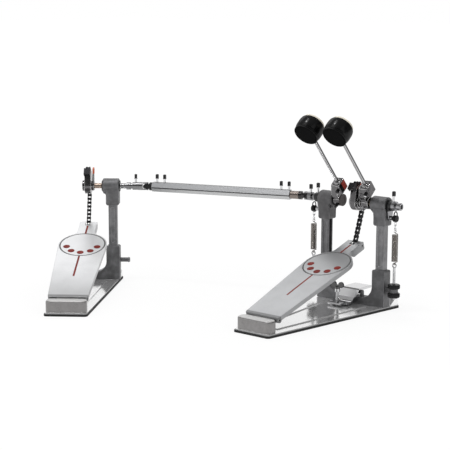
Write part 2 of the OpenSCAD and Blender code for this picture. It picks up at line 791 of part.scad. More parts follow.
module head_shell(x) {
    back = -shell_len * 0.47;
    front = shell_len * 0.53;
    color([0.03, 0.03, 0.03]) along_rod() translate([x, 0, head_reach]) difference() {
        rotate([-90, 0, 0]) rotate_extrude($fn = 72) polygon([
            [0, back + 0.8], [head_r - 6, back + 0.8], [head_r - 5, back], [head_r - 3.6, back + 0.3],
            [head_r - 2.2, back + 1.6], [head_r - 1.6, back + 3.2], [head_r - 1.8, back + 4],
            [head_r - 3, back + 4.5], [head_r - 3.1, back + 5], [head_r - 2.2, back + 5.8],
            [head_r - 1, back + 9], [head_r - 0.3, back + 13], [head_r, back + 18], [head_r, back + 25],
            [head_r - 0.4, back + 29.5], [head_r - 1.2, front - 3.6], [head_r - 2.2, front - 1.6],
            [head_r - 3.2, front - 0.5], [head_r - 4.4, front], [0, front]]);
        translate([0, 0, -head_r - 10]) cylinder(r = rod_r + seat, h = head_r + 20.5);
    }
}
module head_felt(x) {
    front = shell_len * 0.53;
    r = head_r - 4.6;
    color([0.86, 0.80, 0.66]) along_rod() translate([x, 0, head_reach]) rotate([-90, 0, 0]) {
        rotate_extrude($fn = 72) polygon([
            [0, front + seat], [r, front + seat], [r, front + felt_t * 0.5], [r - 0.9, front + felt_t * 0.8],
            [r - 3, front + felt_t], [0, front + felt_t + 1]]);
    }
}

// Rockers: the arms that pull the springs
module rocker(plate_in, plate_out, collar_out, ball_x) {
    side = plate_out > plate_in ? 1 : -1;
    near = ball_x - side * ball_w / 2;
    far = ball_x + side * ball_w / 2;
    color([0.74, 0.74, 0.75]) at_axle() difference() {
        union() {
            side_plate(min(plate_in, plate_out), max(plate_in, plate_out)) {
                circle(r = 11);
                translate([0, -ball_drop]) circle(r = 6.5);
                polygon([[-10.6, -3], [10.6, -3], [6.3, -ball_drop - 1.5], [-6.3, -ball_drop - 1.5]]);
            }
            bar_x(11, min(plate_in, collar_out), max(plate_in, collar_out));
            translate([0, 0, -ball_drop]) {
                bar_x(4.8, min(plate_in, far), max(plate_in, far));
                bar_x(ball_r, min(near, near + side * 2.4), max(near, near + side * 2.4));
                bar_x(ball_r, min(far, far - side * 2.4), max(far, far - side * 2.4));
            }
        }
        bar_x(axle_r + seat, min(plate_in, collar_out) - 5, max(plate_in, collar_out) + 5);
        translate([(plate_out + collar_out) / 2, 0, 0]) cylinder(r = screw_neck + seat, h = 20);
    }
}
module master_axle() {
    color([0.72, 0.66, 0.50]) at_axle() difference() {
        union() {
            bar_x(axle_r, cam_left - 1, axle_end_x - 2);
            bar_x(axle_nut_r, axle_end_x - 9, axle_end_x - 1.5);
            bar_x(axle_nut_r - 1, axle_end_x - 2, axle_end_x);
        }
        bar_x(axle_nut_r - 4, axle_end_x - 1.2, axle_end_x + 1);
    }
}

// Universal joints. A yoke lies along +X from the centre of its joint, its ears above and below.
module yoke(len, hub, hole) {
    out = ear_in + ear_t;
    difference() {
        intersection() {
            union() {
                for (s = [-1, 1]) translate([0, 0, s > 0 ? ear_in : -out]) {
                    cylinder(r = ear_half, h = ear_t);
                    translate([0, -ear_half, 0]) cube([len - hub / 2, 2 * ear_half, ear_t]);
                }
                bar_x(joint_r, len - hub, len);
            }
            bar_x(joint_r, -ear_half - 1, len + 1);
        }
        translate([0, 0, -out - 1]) cylinder(r = hole, h = 2 * out + 2);
    }
}
module cross_piece() {
    reach = ear_in + ear_t - 0.4;
    color([0.08, 0.08, 0.08]) {
        translate([0, 0, -cross_r]) cylinder(r = cross_r, h = 2 * cross_r);
        translate([0, 0, -reach]) cylinder(r = cross_pin_r, h = 2 * reach);
        rotate([90, 0, 0]) translate([0, 0, -reach]) cylinder(r = cross_pin_r, h = 2 * reach);
        rotate([90, 0, 0]) translate([0, 0, -ear_in + 0.45]) cylinder(r = 4.1, h = 2 * ear_in - 0.9);
    }
}
module left_axle() {
    color([0.74, 0.73, 0.70]) at_axle() difference() {
        union() {
            bar_x(axle_r, -main_joint_x + axle_yoke_len - 1, -left_beater_x - hub_off + hub_w / 2 - 0.4);
            translate([-main_joint_x, 0, 0]) yoke(axle_yoke_len, 10, cross_pin_r + run);
        }
        translate([-main_joint_x + axle_yoke_len - 5.5, 0, 3]) cylinder(r = screw_neck + seat, h = 20);
    }
}
module left_cross() {
    along_shaft() cross_piece();
}
module slave_axle() {
    yoke_end = slave_joint_x - axle_yoke_len;
    color([0.78, 0.78, 0.79]) at_slave() at_axle() difference() {
        union() {
            bar_x(axle_r, cam_left - 1, yoke_end + 1);
            bar_x(joint_r - 1, yoke_end - 30, yoke_end - 19);
            bar_x(joint_r - 0.4, yoke_end - 15, yoke_end + 1);
            translate([slave_joint_x, 0, 0]) mirror([1, 0, 0]) yoke(axle_yoke_len, 10, cross_pin_r + run);
        }
        translate([yoke_end - 7, 0, 3]) cylinder(r = screw_neck + seat, h = 20);
    }
}
module slave_cross() {
    along_shaft() translate([shaft_span, 0, 0]) cross_piece();
}
module hexagon(flats) {
    circle(r = flats / sqrt(3), $fn = 6);
}
module inner_rod() {
    color([0.36, 0.33, 0.32]) along_shaft() {
        rotate([90, 0, 0]) yoke(yoke_len, 8, cross_pin_r + 1.1);
        bar_x(joint_r - 0.5, yoke_len - 1, yoke_len + shank_len);
        side_plate(yoke_len + shank_len - 1, yoke_len + shank_len + rod_inside) hexagon(rod_flats);
    }
}
tube_screw_x = [tube_start + 4, tube_start + 23.5, tube_end - 31, tube_end - 11];
module drive_tube() {
    color([0.80, 0.80, 0.81]) along_shaft() difference() {
        side_plate(tube_start, tube_end - gap) hexagon(tube_flats);
        side_plate(tube_start - 1, tube_end + 1) hexagon(rod_flats + 6 * run);
        for (x = tube_screw_x) translate([x, 0, rod_flats / 2 + 1.5]) cylinder(r = screw_neck + seat, h = 20);
    }
}
module drive_tube_screws() {
    color([0.08, 0.08, 0.08]) along_shaft() {
        for (x = tube_screw_x) square_screw(x, rod_flats / 2 + 1.6, tube_flats / 2 - rod_flats / 2 + 8);
    }
}
module slave_yoke() {
    color([0.09, 0.09, 0.09]) along_shaft() {
        translate([shaft_span, 0, 0]) mirror([1, 0, 0]) rotate([90, 0, 0]) yoke(yoke_len, 8, cross_pin_r + 1.1);
        side_plate(tube_end - 40, tube_end + 1) hexagon(rod_flats);
    }
}
module screw_on_axle(x, neck) {
    color([0.08, 0.08, 0.08]) translate([0, 0, axle_h]) square_screw(x, axle_r + 0.3, neck);
}

// Footboards. Y runs from the heel hinge to the toe.
module board_outline(inset) {
    h = board_heel_half - inset;
    r = shoulder_r - inset;
    n = toe_half - inset;
    f = hollow_r + inset;
    s0 = 4 + inset;
    d = norm([h, ring_centre - s0]);
    a = acos(r / d) + atan2(s0 - ring_centre, h);
    k = sqrt(pow(r + f, 2) - pow(n + f, 2));
    polygon([
        [-h, s0], [h, s0],
        [r * cos(a), ring_centre + r * sin(a)], [-r * cos(a), ring_centre + r * sin(a)]]);
    translate([0, ring_centre]) circle(r = r, $fn = 96);
    difference() {
        polygon([[-n - f, ring_centre + k], [0, ring_centre], [n + f, ring_centre + k]]);
        for (s = [-1, 1]) translate([s * (n + f), ring_centre + k]) circle(r = f, $fn = 64);
    }
    translate([-n, ring_centre]) square([2 * n, board_end - ring_centre + inset]);
}
module board_heel() {
    half = board_heel_half;
    intersection() {
        side_plate(-half, half) polygon(concat(
            [[9, board_top - side_depth], [9, board_top], [-2, board_top],
                [-4, board_top - 0.8], [-5.6, board_top - 2.8]],
            [for (a = [180:15:345]) [knuckle_r * cos(a), knuckle_r * sin(a)]]));
        translate([0, 0, -10]) linear_extrude(20 + board_top) soft_rect(-half, -knuckle_r, half, 30, 9);
    }
}
function dot_at(k) = let (a = -90 + (k - (dot_count - 1) / 2) * 37) [
    dot_ring_r * cos(a), ring_centre + dot_ring_r * sin(a)];
module centre_lines() {
    translate([-1.6, ring_centre - ring_r - 95]) square([3.2, 94]);
    translate([-1.6, ring_centre + ring_r + 1]) square([3.2, 40]);
}
module footboard() {
    low = board_top - side_depth;
    toe_low = board_top - toe_depth;
    color([0.80, 0.81, 0.82]) on_board() difference() {
        union() {
            translate([0, 0, board_top - tread_t]) linear_extrude(tread_t) board_outline(0);
            difference() {
                translate([0, 0, low]) linear_extrude(side_depth - 1) board_outline(0);
                translate([0, 0, low - 1]) linear_extrude(side_depth + 1) board_outline(side_t);
            }
            for (s = [-1, 1]) {
                side_plate(s > 0 ? toe_half - side_t : -toe_half, s > 0 ? toe_half : -toe_half + side_t) polygon([
                    [ring_centre + 61, low + 1], [ring_centre + 74, toe_low], [board_end - 3, toe_low],
                    [board_end, toe_low + 3], [board_end, board_top - 1], [ring_centre + 61, board_top - 1]]);
            }
            board_heel();
        }
        translate([-lug_w / 2 - gap, -20, -20]) {
            cube([lug_w + 2 * gap, 20 + knuckle_r + 2.3, 20 + board_top - tread_t]);
        }
        bar_x(hinge_pin_r + run, -60, 60);
        translate([0, board_len, 0]) bar_x(2.4 + run, -40, 40);
        translate([-pin_end - 1.2, board_len - 11, -20]) cube([2 * pin_end + 2.4, 40, 40]);
        translate([0, ring_centre, board_top - 0.5]) difference() {
            cylinder(r = ring_r + 0.6, h = 2, $fn = 96);
            translate([0, 0, -1]) cylinder(r = ring_r - 0.6, h = 4, $fn = 96);
        }
        for (k = [0:dot_count - 1]) translate([dot_at(k)[0], dot_at(k)[1], board_top - 1]) cylinder(r = dot_r + seat, h = 3);
        translate([0, 0, board_top - 0.6]) linear_extrude(3) centre_lines();
    }
}
module grip_dots() {
    color([0.66, 0.16, 0.13]) on_board() {
        for (k = [0:dot_count - 1]) translate([dot_at(k)[0], dot_at(k)[1], board_top - 1]) {
            cylinder(r = dot_r, h = 1.1);
            cylinder(r = dot_r - 0.8, h = 1.5);
        }
        translate([0, 0, board_top - 0.6]) linear_extrude(0.7) centre_lines();
    }
}

// Hoop clamp
module jaw_side() {
    t = jaw_t;
    z1 = jaw_high;
    z0 = floor_top + 2.5;
    polygon([
        [-screw_back - 13, z0 + 2], [-screw_back - 11, z0], [-30, z0], [-26, z0 + 2], [-4, z1 - 1], [-1, z1],
        [base_front - 3, z1], [base_front - 1, z1 + 2], [base_front - 1, z1 + t], [-3, z1 + t],
        [-8, z1 + t - 2], [-29, z0 + t + 2], [-32, z0 + t], [-screw_back - 11, z0 + t], [-screw_back - 13, z0 + t - 2]]);
}
module clamp_upper_jaw() {
    x0 = -clamp_x - jaw_w / 2;
    color([0.76, 0.76, 0.77]) difference() {
        union() {
            side_plate(x0, x0 + jaw_w) jaw_side();
            side_plate(x0, x0 + jaw_w) {
                translate([pivot_y, pivot_z]) circle(r = pivot_r - 0.4);
                translate([pivot_y - pivot_r + 0.4, pivot_z]) square([2 * pivot_r - 0.8, jaw_high - pivot_z + 1]);
            }
        }
        translate([0, pivot_y, pivot_z]) bar_x(2.5 + run, x0 - 1, x0 + jaw_w + 1);
        translate([-clamp_x, -screw_back, 0]) cylinder(r = screw_r + 1.6, h = 40);
        for (s = [-1, 1]) translate([-clamp_x + s * (jaw_w / 2 + 6), -screw_back - 16, 0]) {
            rotate([0, 0, s * 12]) translate([-10, -12, 0]) cube([20, 34, 20]);
        }
    }
}
module clamp_lower_jaw() {
    color([0.30, 0.30, 0.31]) side_plate(-clamp_x - jaw_w / 2, -clamp_x + jaw_w / 2) polygon([
        [casting_d / 2 + gap, floor_top], [base_front - 2, floor_top], [base_front - 2, jaw_low],
        [casting_d / 2 + 3, jaw_low], [casting_d / 2 + gap, jaw_low - 2]]);
}
module clamp_screw() {
    color([0.75, 0.75, 0.76]) translate([-clamp_x, -screw_back, 0]) {
        translate([0, 0, floor_top + gap]) cylinder(r = screw_r, h = 44);
        translate([0, 0, floor_top + 32]) cylinder(r = 6, h = 12);
        front_plate(-1.8, 1.8) {
            translate([-6, floor_top + 36]) square([12, 12]);
            for (s = [-1, 1]) translate([s * 10, floor_top + 48]) circle(r = 7);
        }
    }
}

mat(master_left, master_right);  // master_mat
base_plate(master_left, master_right, [20, 60], [26, 46]);  // master_base_plate
heel_block();  // master_heel_block
heel_pin();  // master_heel_pin
master_foot_casting();
post(right_post_x, -1);  // right_post
post(-left_post_x, 1);  // left_post
housing(right_post_x, 1);  // right_housing
housing(-left_post_x, -1);  // left_housing
union() {  // master_bearings
    housing_bearings(right_post_x, 1);
    housing_bearings(-left_post_x, -1);
}
union() {  // spring_brackets
    bracket(right_post_x + foot_w / 2, right_spring_x, 1);
    bracket(-left_post_x - foot_w / 2, -left_spring_x, -1);
}
union() {  // eye_bolts
    eye_bolt(right_spring_x);
    eye_bolt(-left_spring_x);
}
union() {  // tension_nuts
    for (x = [right_spring_x, -left_spring_x]) {
        knurled_nut(x, bracket_h + bracket_t + gap);
        knurled_nut(x, bracket_h - gap - nut_t);
    }
}
clamp_lower_jaw();
clamp_upper_jaw();
clamp_screw();
master_axle();
cam();  // master_cam
chain_wrap();  // master_chain_wrap
beater_clamp(right_beater_x);  // right_beater_clamp
union() {  // right_rocker
    rocker(right_plate - 4 + gap, right_plate, right_collar, right_spring_x);
}
union() {  // master_axle_screws
    screw_on_axle((right_plate + right_collar) / 2, 16.5);
    clamp_keys(right_beater_x);
}
rod(right_beater_x);  // right_rod
head_shell(right_beater_x);  // right_head_shell
head_felt(right_beater_x);  // right_head_felt
free_chain();  // master_chain
chain_pair();  // master_chain_pair
footboard();  // master_footboard
grip_dots();  // master_grip_dots
left_axle();
beater_clamp(-left_beater_x);  // left_beater_clamp
union() {  // left_rocker
    rocker(left_plate + 4 - gap, left_plate, left_collar, -left_spring_x);
}
union() {  // left_axle_screws
    screw_on_axle((left_plate + left_collar) / 2, 16.5);
    screw_on_axle(-main_joint_x + axle_yoke_len - 5.5, 11.5);
    clamp_keys(-left_beater_x);
}
left_cross();
rod(-left_beater_x);  // left_rod
head_shell(-left_beater_x);  // left_head_shell
head_felt(-left_beater_x);  // left_head_felt
spring(right_spring_x);  // right_spring
spring(-left_spring_x);  // left_spring
inner_rod();
drive_tube();
drive_tube_screws();
slave_yoke();
slave_cross();
at_slave() mat(slave_left, slave_right);  // slave_mat
at_slave() base_plate(slave_left, slave_right, [20, 40], [27, 44]);  // slave_base_plate
at_slave() heel_block();  // slave_heel_block
at_slave() heel_pin();  // slave_heel_pin
at_slave() slave_foot_casting();
at_slave() post(slave_post_x, -1);  // slave_post
at_slave() housing(slave_post_x, 1);  // slave_housing
at_slave() housing_bearings(slave_post_x, 1);  // slave_bearings
slave_axle();
at_slave() cam();  // slave_cam
at_slave() chain_wrap();  // slave_chain_wrap
at_slave() screw_on_axle(slave_joint_x - axle_yoke_len - 7, 12.5);  // slave_axle_screws
at_slave() free_chain();  // slave_chain
at_slave() chain_pair();  // slave_chain_pair
at_slave() footboard();  // slave_footboard
at_slave() grip_dots();  // slave_grip_dots
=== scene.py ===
"""Double bass drum pedal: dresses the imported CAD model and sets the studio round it."""

import json
import logging
from dataclasses import dataclass, field
from enum import Enum
from math import cos, pi, radians, sin, tau
from typing import Any, Callable, Iterable, Sequence

import bmesh
import bpy
from bpy.types import Material, NodeTree, Object
from mathutils import Matrix, Vector, noise


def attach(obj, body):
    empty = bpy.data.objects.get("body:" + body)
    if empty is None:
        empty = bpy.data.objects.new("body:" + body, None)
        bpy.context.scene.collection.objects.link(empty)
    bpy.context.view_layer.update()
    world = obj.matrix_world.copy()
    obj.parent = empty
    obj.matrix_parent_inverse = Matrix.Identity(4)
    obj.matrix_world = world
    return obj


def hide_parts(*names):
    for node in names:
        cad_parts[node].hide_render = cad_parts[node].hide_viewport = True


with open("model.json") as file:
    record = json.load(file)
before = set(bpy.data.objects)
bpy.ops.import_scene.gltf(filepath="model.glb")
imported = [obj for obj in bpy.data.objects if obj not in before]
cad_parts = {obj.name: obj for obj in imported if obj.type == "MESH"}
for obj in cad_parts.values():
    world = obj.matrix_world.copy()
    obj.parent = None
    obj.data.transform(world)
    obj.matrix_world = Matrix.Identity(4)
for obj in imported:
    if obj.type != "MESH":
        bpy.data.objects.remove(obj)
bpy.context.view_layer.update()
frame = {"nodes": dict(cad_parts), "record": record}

log = logging.getLogger("drum_pedal")

Triple = tuple[float, float, float]
Values = dict[Any, Any] | None

# Millimetres and degrees, as in the CAD source, and linear colours; the scene is in metres.
MM = 0.001
FAR = 2000.0  # beyond every piece
AXLE_HEIGHT = 240.0
SPLAY = 38.2
SHAFT_SPAN = 412.0
MAIN_JOINT = 145.0
SLAVE_JOINT = 143.0
BOARD_SLOPE = 18.451
HINGE_BACK = 335.5
HINGE_HEIGHT = 32.0
BEATER_LEAN = 41.0
RIGHT_BEATER = 50.4
LEFT_BEATER = -26.1
RIGHT_BALL = 104.5
LEFT_BALL = -121.8
BALL_HEIGHT = 212.5
BALL_REACH = 9.2
# Turn of the rods' painted reflection bands about their length.
ROD_REFLECTION_TURN = 33.0
PER_TURN = 16  # points in a turn of a helix
BLACK = (0.012, 0.012, 0.013)
BROWN = (0.05, 0.038, 0.034)
BRIGHT = (0.70, 0.70, 0.71)


class Side(Enum):
    """The two pedals."""

    MASTER = "master"
    SLAVE = "slave"


def turned(angle: float, axis: str) -> Matrix:
    """Gives a turn of so many degrees about an axis."""
    return Matrix.Rotation(radians(angle), 4, axis)


def slave_place() -> Matrix:
    """Returns the matrix, in millimetres, from the slave pedal's own frame to the scene's."""
    half, full = radians(SPLAY / 2), radians(SPLAY)
    x = -MAIN_JOINT - SHAFT_SPAN * cos(half) - SLAVE_JOINT * cos(full)
    y = -SHAFT_SPAN * sin(half) - SLAVE_JOINT * sin(full)
    return Matrix.Translation((x, y, 0)) @ turned(SPLAY, "Z")


def board_place(side: Side) -> Matrix:
    """Gives the matrix of a pedal's footboard, Y from heel to toe and Z out of its tread."""
    floor = slave_place() if side is Side.SLAVE else Matrix.Identity(4)
    return floor @ Matrix.Translation((0, -HINGE_BACK, HINGE_HEIGHT)) @ turned(BOARD_SLOPE, "X")


def rod_place(x: float) -> Matrix:
    """Gives the matrix of the beater at x along the axle, Z up its rod and Y to the drum."""
    return Matrix.Translation((x, 0, AXLE_HEIGHT)) @ turned(BEATER_LEAN, "X")


def shaft_place() -> Matrix:
    """Returns the matrix, in millimetres, of the shaft's own frame, X from master to slave."""
    return Matrix.Translation((-MAIN_JOINT, 0, AXLE_HEIGHT)) @ turned(180 + SPLAY / 2, "Z")


def tint(colour: Triple, factor: float, lift: float = 0.0, most: float = 1.0) -> Triple:
    """Multiplies a colour by a factor and adds a lift, with no channel above the most."""
    return tuple(min(most, channel * factor + lift) for channel in colour)


def above(x: float = -FAR, y: float = -FAR, z: float = -FAR) -> Triple:
    """Gives a patch's lower corner; an axis that is left out has no limit."""
    return x, y, z


def below(x: float = FAR, y: float = FAR, z: float = FAR) -> Triple:
    """Gives a patch's upper corner; an axis that is left out has no limit."""
    return x, y, z


def operator(operation: str, swap: bool = False) -> Callable[["Wire", Any], "Wire"]:
    """Makes a method of Wire that adds one Math node.

    Args:
        operation: the node's operation.
        swap: whether the other value comes first.

    Returns:
        The method.
    """
    def method(self: "Wire", other: Any) -> "Wire":
        """Adds the node and gives its wire."""
        first, second = (other, self) if swap else (self, other)
        return self.nodes.add("ShaderNodeMath", {"operation": operation}, {0: first, 1: second})

    return method


@dataclass(frozen=True, eq=False)
class Wire:
    """A node's output that takes part in Python sums; each operator adds its Math node."""

    nodes: "Nodes"
    socket: Any

    __add__ = __radd__ = operator("ADD")
    __sub__ = operator("SUBTRACT")
    __rsub__ = operator("SUBTRACT", swap=True)
    __mul__ = __rmul__ = operator("MULTIPLY")
    __gt__ = operator("GREATER_THAN")
    __lt__ = operator("LESS_THAN")
    __pow__ = operator("POWER")


class Nodes:
    """Adds nodes to one tree, of shaders or of geometry."""

    def __init__(self, tree: NodeTree) -> None:
        """Takes the tree and empties it."""
        self.tree = tree
        self.tree.nodes.clear()

    def add(self, kind: str, settings: Values = None, values: Values = None,
            out: Any = 0) -> Wire:
        """Adds a node.

        Args:
            kind: the node's type.
            settings: its properties, set first; "stops" sets a ramp's stops.
            values: numbers, colours or wires for its inputs, by name or number.
            out: the output that is returned.

        Returns:
            The wire of that output.
        """
        node = self.tree.nodes.new(kind)
        for key, value in (settings or {}).items():
            if key == "stops":
                ramp = node.color_ramp
                while len(ramp.elements) < len(value):
                    ramp.elements.new(0.5)
                for element, (place, colour) in zip(ramp.elements, value):
                    element.position = place
                    element.color = (*colour, 1.0)
            else:
                setattr(node, key, value)
        for key, value in (values or {}).items():
            socket = node.inputs[key]
            if isinstance(value, Wire):
                self.tree.links.new(value.socket, socket)
            elif socket.type == "RGBA":
                socket.default_value = (*value, 1.0)
            else:
                socket.default_value = value
        return Wire(self, node.outputs[out])

    def end(self, kind: str, last: Wire) -> None:
        """Links the last wire to an output node of that type."""
        self.tree.links.new(last.socket, self.tree.nodes.new(kind).inputs[0])


class Shader(Nodes):
    """Builds the nodes of one material, or of the world."""

    def __init__(self, name: str, world: bool = False) -> None:
        """Makes a node material or a world.

        Args:
            name: its name.
            world: whether it is a world.
        """
        self.material = (bpy.data.worlds if world else bpy.data.materials).new(name)
        self.material.use_nodes = True
        super().__init__(self.material.node_tree)

    def place(self, matrix: Matrix | None = None) -> Wire:
        """Gives object coordinates, turned into a piece's own frame.

        Args:
            matrix: that frame's matrix, in millimetres.

        Returns:
            The vector's wire, in metres.
        """
        point = self.add("ShaderNodeTexCoord", out="Object")
        if matrix is None:
            return point
        turn = matrix.to_3x3().inverted()
        shift = -(turn @ (matrix.translation * MM))
        return self.add("ShaderNodeMapping", {"vector_type": "POINT"}, {
            0: point, 1: shift, 2: turn.to_euler()})

    def axes(self, point: Wire) -> tuple[Wire, ...]:
        """Splits a vector into its three wires."""
        node = self.add("ShaderNodeSeparateXYZ", values={0: point}).socket.node
        return tuple(Wire(self, output) for output in node.outputs)

    def noise(self, point: Wire, scale: float, detail: float = 3.0, rough: float = 0.5,
              stretch: Triple | None = None) -> Wire:
        """Adds a noise texture.

        Args:
            point: where it is read.
            scale: its scale, per metre.
            detail: its detail.
            rough: its roughness.
            stretch: how much each axis is squeezed, for streaks.

        Returns:
            The noise's value, from 0 to 1.
        """
        if stretch is not None:
            point = self.add("ShaderNodeMapping", values={0: point, 3: stretch})
        return self.add("ShaderNodeTexNoise", values={
            "Vector": point, "Scale": scale, "Detail": detail, "Roughness": rough})

    def ramp(self, value: Wire, *stops: tuple[float, Triple]) -> Wire:
        """Turns a value into a colour through a colour ramp's stops."""
        return self.add("ShaderNodeValToRGB", {"stops": stops}, {0: value})

    def mottled(self, value: Wire, colour: Triple, darkest: float, lightest: float,
                stops: Triple = (0.3, 0.52, 0.75)) -> Wire:
        """Varies a colour with a value, from its darkest tint to its lightest."""
        colours = tint(colour, darkest), colour, tint(colour, lightest)
        return self.ramp(value, *zip(stops, colours))

    def level(self, value: Wire, low: float, high: float, to_low: float, to_high: float) -> Wire:
        """Carries a value from one range to another, clamped at both ends."""
        return self.add("ShaderNodeMapRange", {"clamp": True}, {
            0: value, 1: low, 2: high, 3: to_low, 4: to_high})

    def blend(self, share: Wire, a: Any, b: Any) -> Wire:
        """Mixes two colours, or their wires; the share is how much of the second shows."""
        return self.add("ShaderNodeMix", {"data_type": "RGBA"}, {0: share, 6: a, 7: b}, out=2)

    def bevel(self, radius: float) -> Wire:
        """Gives the normal as it would be if edges had that radius, in metres."""
        return self.add("ShaderNodeBevel", {"samples": 6}, {"Radius": radius})

    def edges(self, radius: float, low: float = 0.02, high: float = 0.3) -> Wire:
        """Gives 1 along sharp edges and 0 on flat ground.

        Args:
            radius: how far the painted edge highlight reaches, in metres.
            low: the bend at which it starts.
            high: the bend at which it is full.

        Returns:
            The mask's wire.
        """
        true = self.add("ShaderNodeNewGeometry", out="Normal")
        match = self.add("ShaderNodeVectorMath", {"operation": "DOT_PRODUCT"}, {
            0: self.bevel(radius), 1: true}, out="Value")
        return self.level(1 - match, low, high, 0.0, 1.0)

    def rays(self) -> tuple[Wire, Wire]:
        """Tells apart the rays that come here.

        Returns:
            A wire with 1 for the camera's rays, and one with 1 for mirrored rays.
        """
        seen = self.add("ShaderNodeLightPath", out="Is Camera Ray")
        outputs = seen.socket.node.outputs
        glossy, through = outputs["Is Glossy Ray"], outputs["Is Transmission Ray"]
        return seen, Wire(self, glossy) + Wire(self, through)

    def surface(self, colour: Any, roughness: Any, metallic: Any = 0.0, bump: Wire | None = None,
                depth: float = 0.0, edge: float = 0.0, **fixed: Any) -> Material:
        """Ends the material in one Principled BSDF.

        Args:
            colour: the base colour or its wire.
            roughness: a number or its wire.
            metallic: a number or its wire.
            bump: the height's wire, if the surface is not smooth.
            depth: the height of the bump, in metres.
            edge: radius of softened edges, in metres.
            fixed: values for other sockets, by name with spaces as underscores.

        Returns:
            The material.
        """
        values = {"Base Color": colour, "Roughness": roughness, "Metallic": metallic}
        values.update({key.replace("_", " "): value for key, value in fixed.items()})
        normal = {"Normal": self.bevel(edge)} if edge else {}
        if bump is not None:
            normal = {"Normal": self.add("ShaderNodeBump", values={
                "Height": bump, "Distance": depth, "Strength": 1.0, **normal})}
        shown = self.add("ShaderNodeBsdfPrincipled", values={**values, **normal})
        self.end("ShaderNodeOutputMaterial", shown)
        return self.material


@dataclass(frozen=True)
class Patch:
    """Another finish inside a box or a ball of a piece's own frame, in millimetres."""

    colour: Triple
    low: Triple = above()
    high: Triple = below()
    centre: Triple | None = None
    radius: float = 0.0
    metallic: float = 0.0
    roughness: float = 0.4

    def mask(self, shader: Shader, point: Wire) -> Wire:
        """Gives 1 inside the patch.

        Args:
            shader: the material's builder.
            point: the coordinates, in metres.

        Returns:
            The mask's wire.
        """
        axes = shader.axes(point)
        if self.centre is not None:
            x, y, z = (axis - middle * MM for axis, middle in zip(axes, self.centre))
            return x * x + y * y + z * z < (self.radius * MM) ** 2
        sides = [axis > low * MM for axis, low in zip(axes, self.low) if low > -FAR]
        sides += [axis < high * MM for axis, high in zip(axes, self.high) if high < FAR]
        inside = sides[0]
        for side in sides[1:]:
            inside = inside * side
        return inside

    def lay(self, shader: Shader, point: Wire, colour: Any, roughness: Any,
            metallic: Any) -> tuple[Wire, Wire, Wire]:
        """Lays the patch over a finish.

        Args:
            shader: the material's builder.
            point: the coordinates, in metres.
            colour, roughness, metallic: what is under the patch.

        Returns:
            The new colour, roughness and metallic value.
        """
        mask = self.mask(shader, point)
        return (shader.blend(mask, colour, self.colour),
                roughness + mask * (self.roughness - roughness),
                metallic + mask * (self.metallic - metallic))


@dataclass(frozen=True)
class Finish:
    """What the finishes share: a name, a piece's own frame and patches of other finishes."""

    name: str
    place: Matrix | None = field(default=None, kw_only=True)
    patches: tuple[Patch, ...] = field(default=(), kw_only=True)

    def start(self) -> tuple[Shader, Wire]:
        """Opens the material and gives its builder and its coordinates."""
        s = Shader(self.name)
        return s, s.place(self.place)

    def close(self, s: Shader, p: Wire, colour: Wire, rough: Wire, metal: Any,
              **fixed: Any) -> Material:
        """Lays the patches and ends the material.

        Args:
            s: the builder.
            p: the coordinates.
            colour, rough, metal: the finish under the patches.
            fixed: what Shader.surface takes besides.

        Returns:
            The material.
        """
        for patch in self.patches:
            colour, rough, metal = patch.lay(s, p, colour, rough, metal)
        return s.surface(colour, rough, metal, **fixed)


@dataclass(frozen=True)
class CastMetal(Finish):
    """Die-cast metal with a mottled skin and painted highlights along its edges."""

    colour: Triple = (0.165, 0.165, 0.170)
    roughness: float = 0.46
    grain: float = 0.00005
    metallic: float = 0.55
    # This factor sets how much lighter the painted edge highlight is.
    rub: float = 2.2
    mottle: float = 0.34
    edge: float = 0.7

    def make(self) -> Material:
        """Returns the built material."""
        s, p = self.start()
        cloud, fine = s.noise(p, 55, 5, 0.6), s.noise(p, 1500, 2)
        colour = s.mottled(cloud, self.colour, 1 - self.mottle, 1 + self.mottle * 1.5)
        # Painted highlight: the edges are lightened towards a brighter tint of the colour.
        wear_and_highlight = s.edges((self.edge + 0.9) * MM, 0.015, 0.22)
        colour = s.blend(wear_and_highlight * 0.85, colour, tint(self.colour, self.rub, 0.04, 0.8))
        rough = s.level(cloud + fine * 0.5, 0.5, 1.0, self.roughness - 0.09, self.roughness + 0.1)
        return self.close(s, p, colour, rough, self.metallic, bump=fine, depth=self.grain,
                          edge=self.edge * MM)


@dataclass(frozen=True)
class BrushedMetal(Finish):
    """Metal brushed along one direction, with faint scratches and handling marks."""

    colour: Triple
    along: Triple
    roughness: float
    metallic: float
    spread: float = 0.10
    grain: float = 0.000004

    def make(self) -> Material:
        """Returns the built material."""
        s, p = self.start()
        streak, cloud = s.noise(p, 900, 4, 0.6, self.along), s.noise(p, 14)
        colour = s.mottled(streak * 0.5 + cloud * 0.5, self.colour,
                           1 - self.spread, 1 + self.spread * 0.6)
        rough = s.level(streak, 0.3, 0.7, self.roughness - 0.06, self.roughness + 0.07)
        return self.close(s, p, colour, rough, self.metallic, bump=streak, depth=self.grain,
                          edge=0.5 * MM)


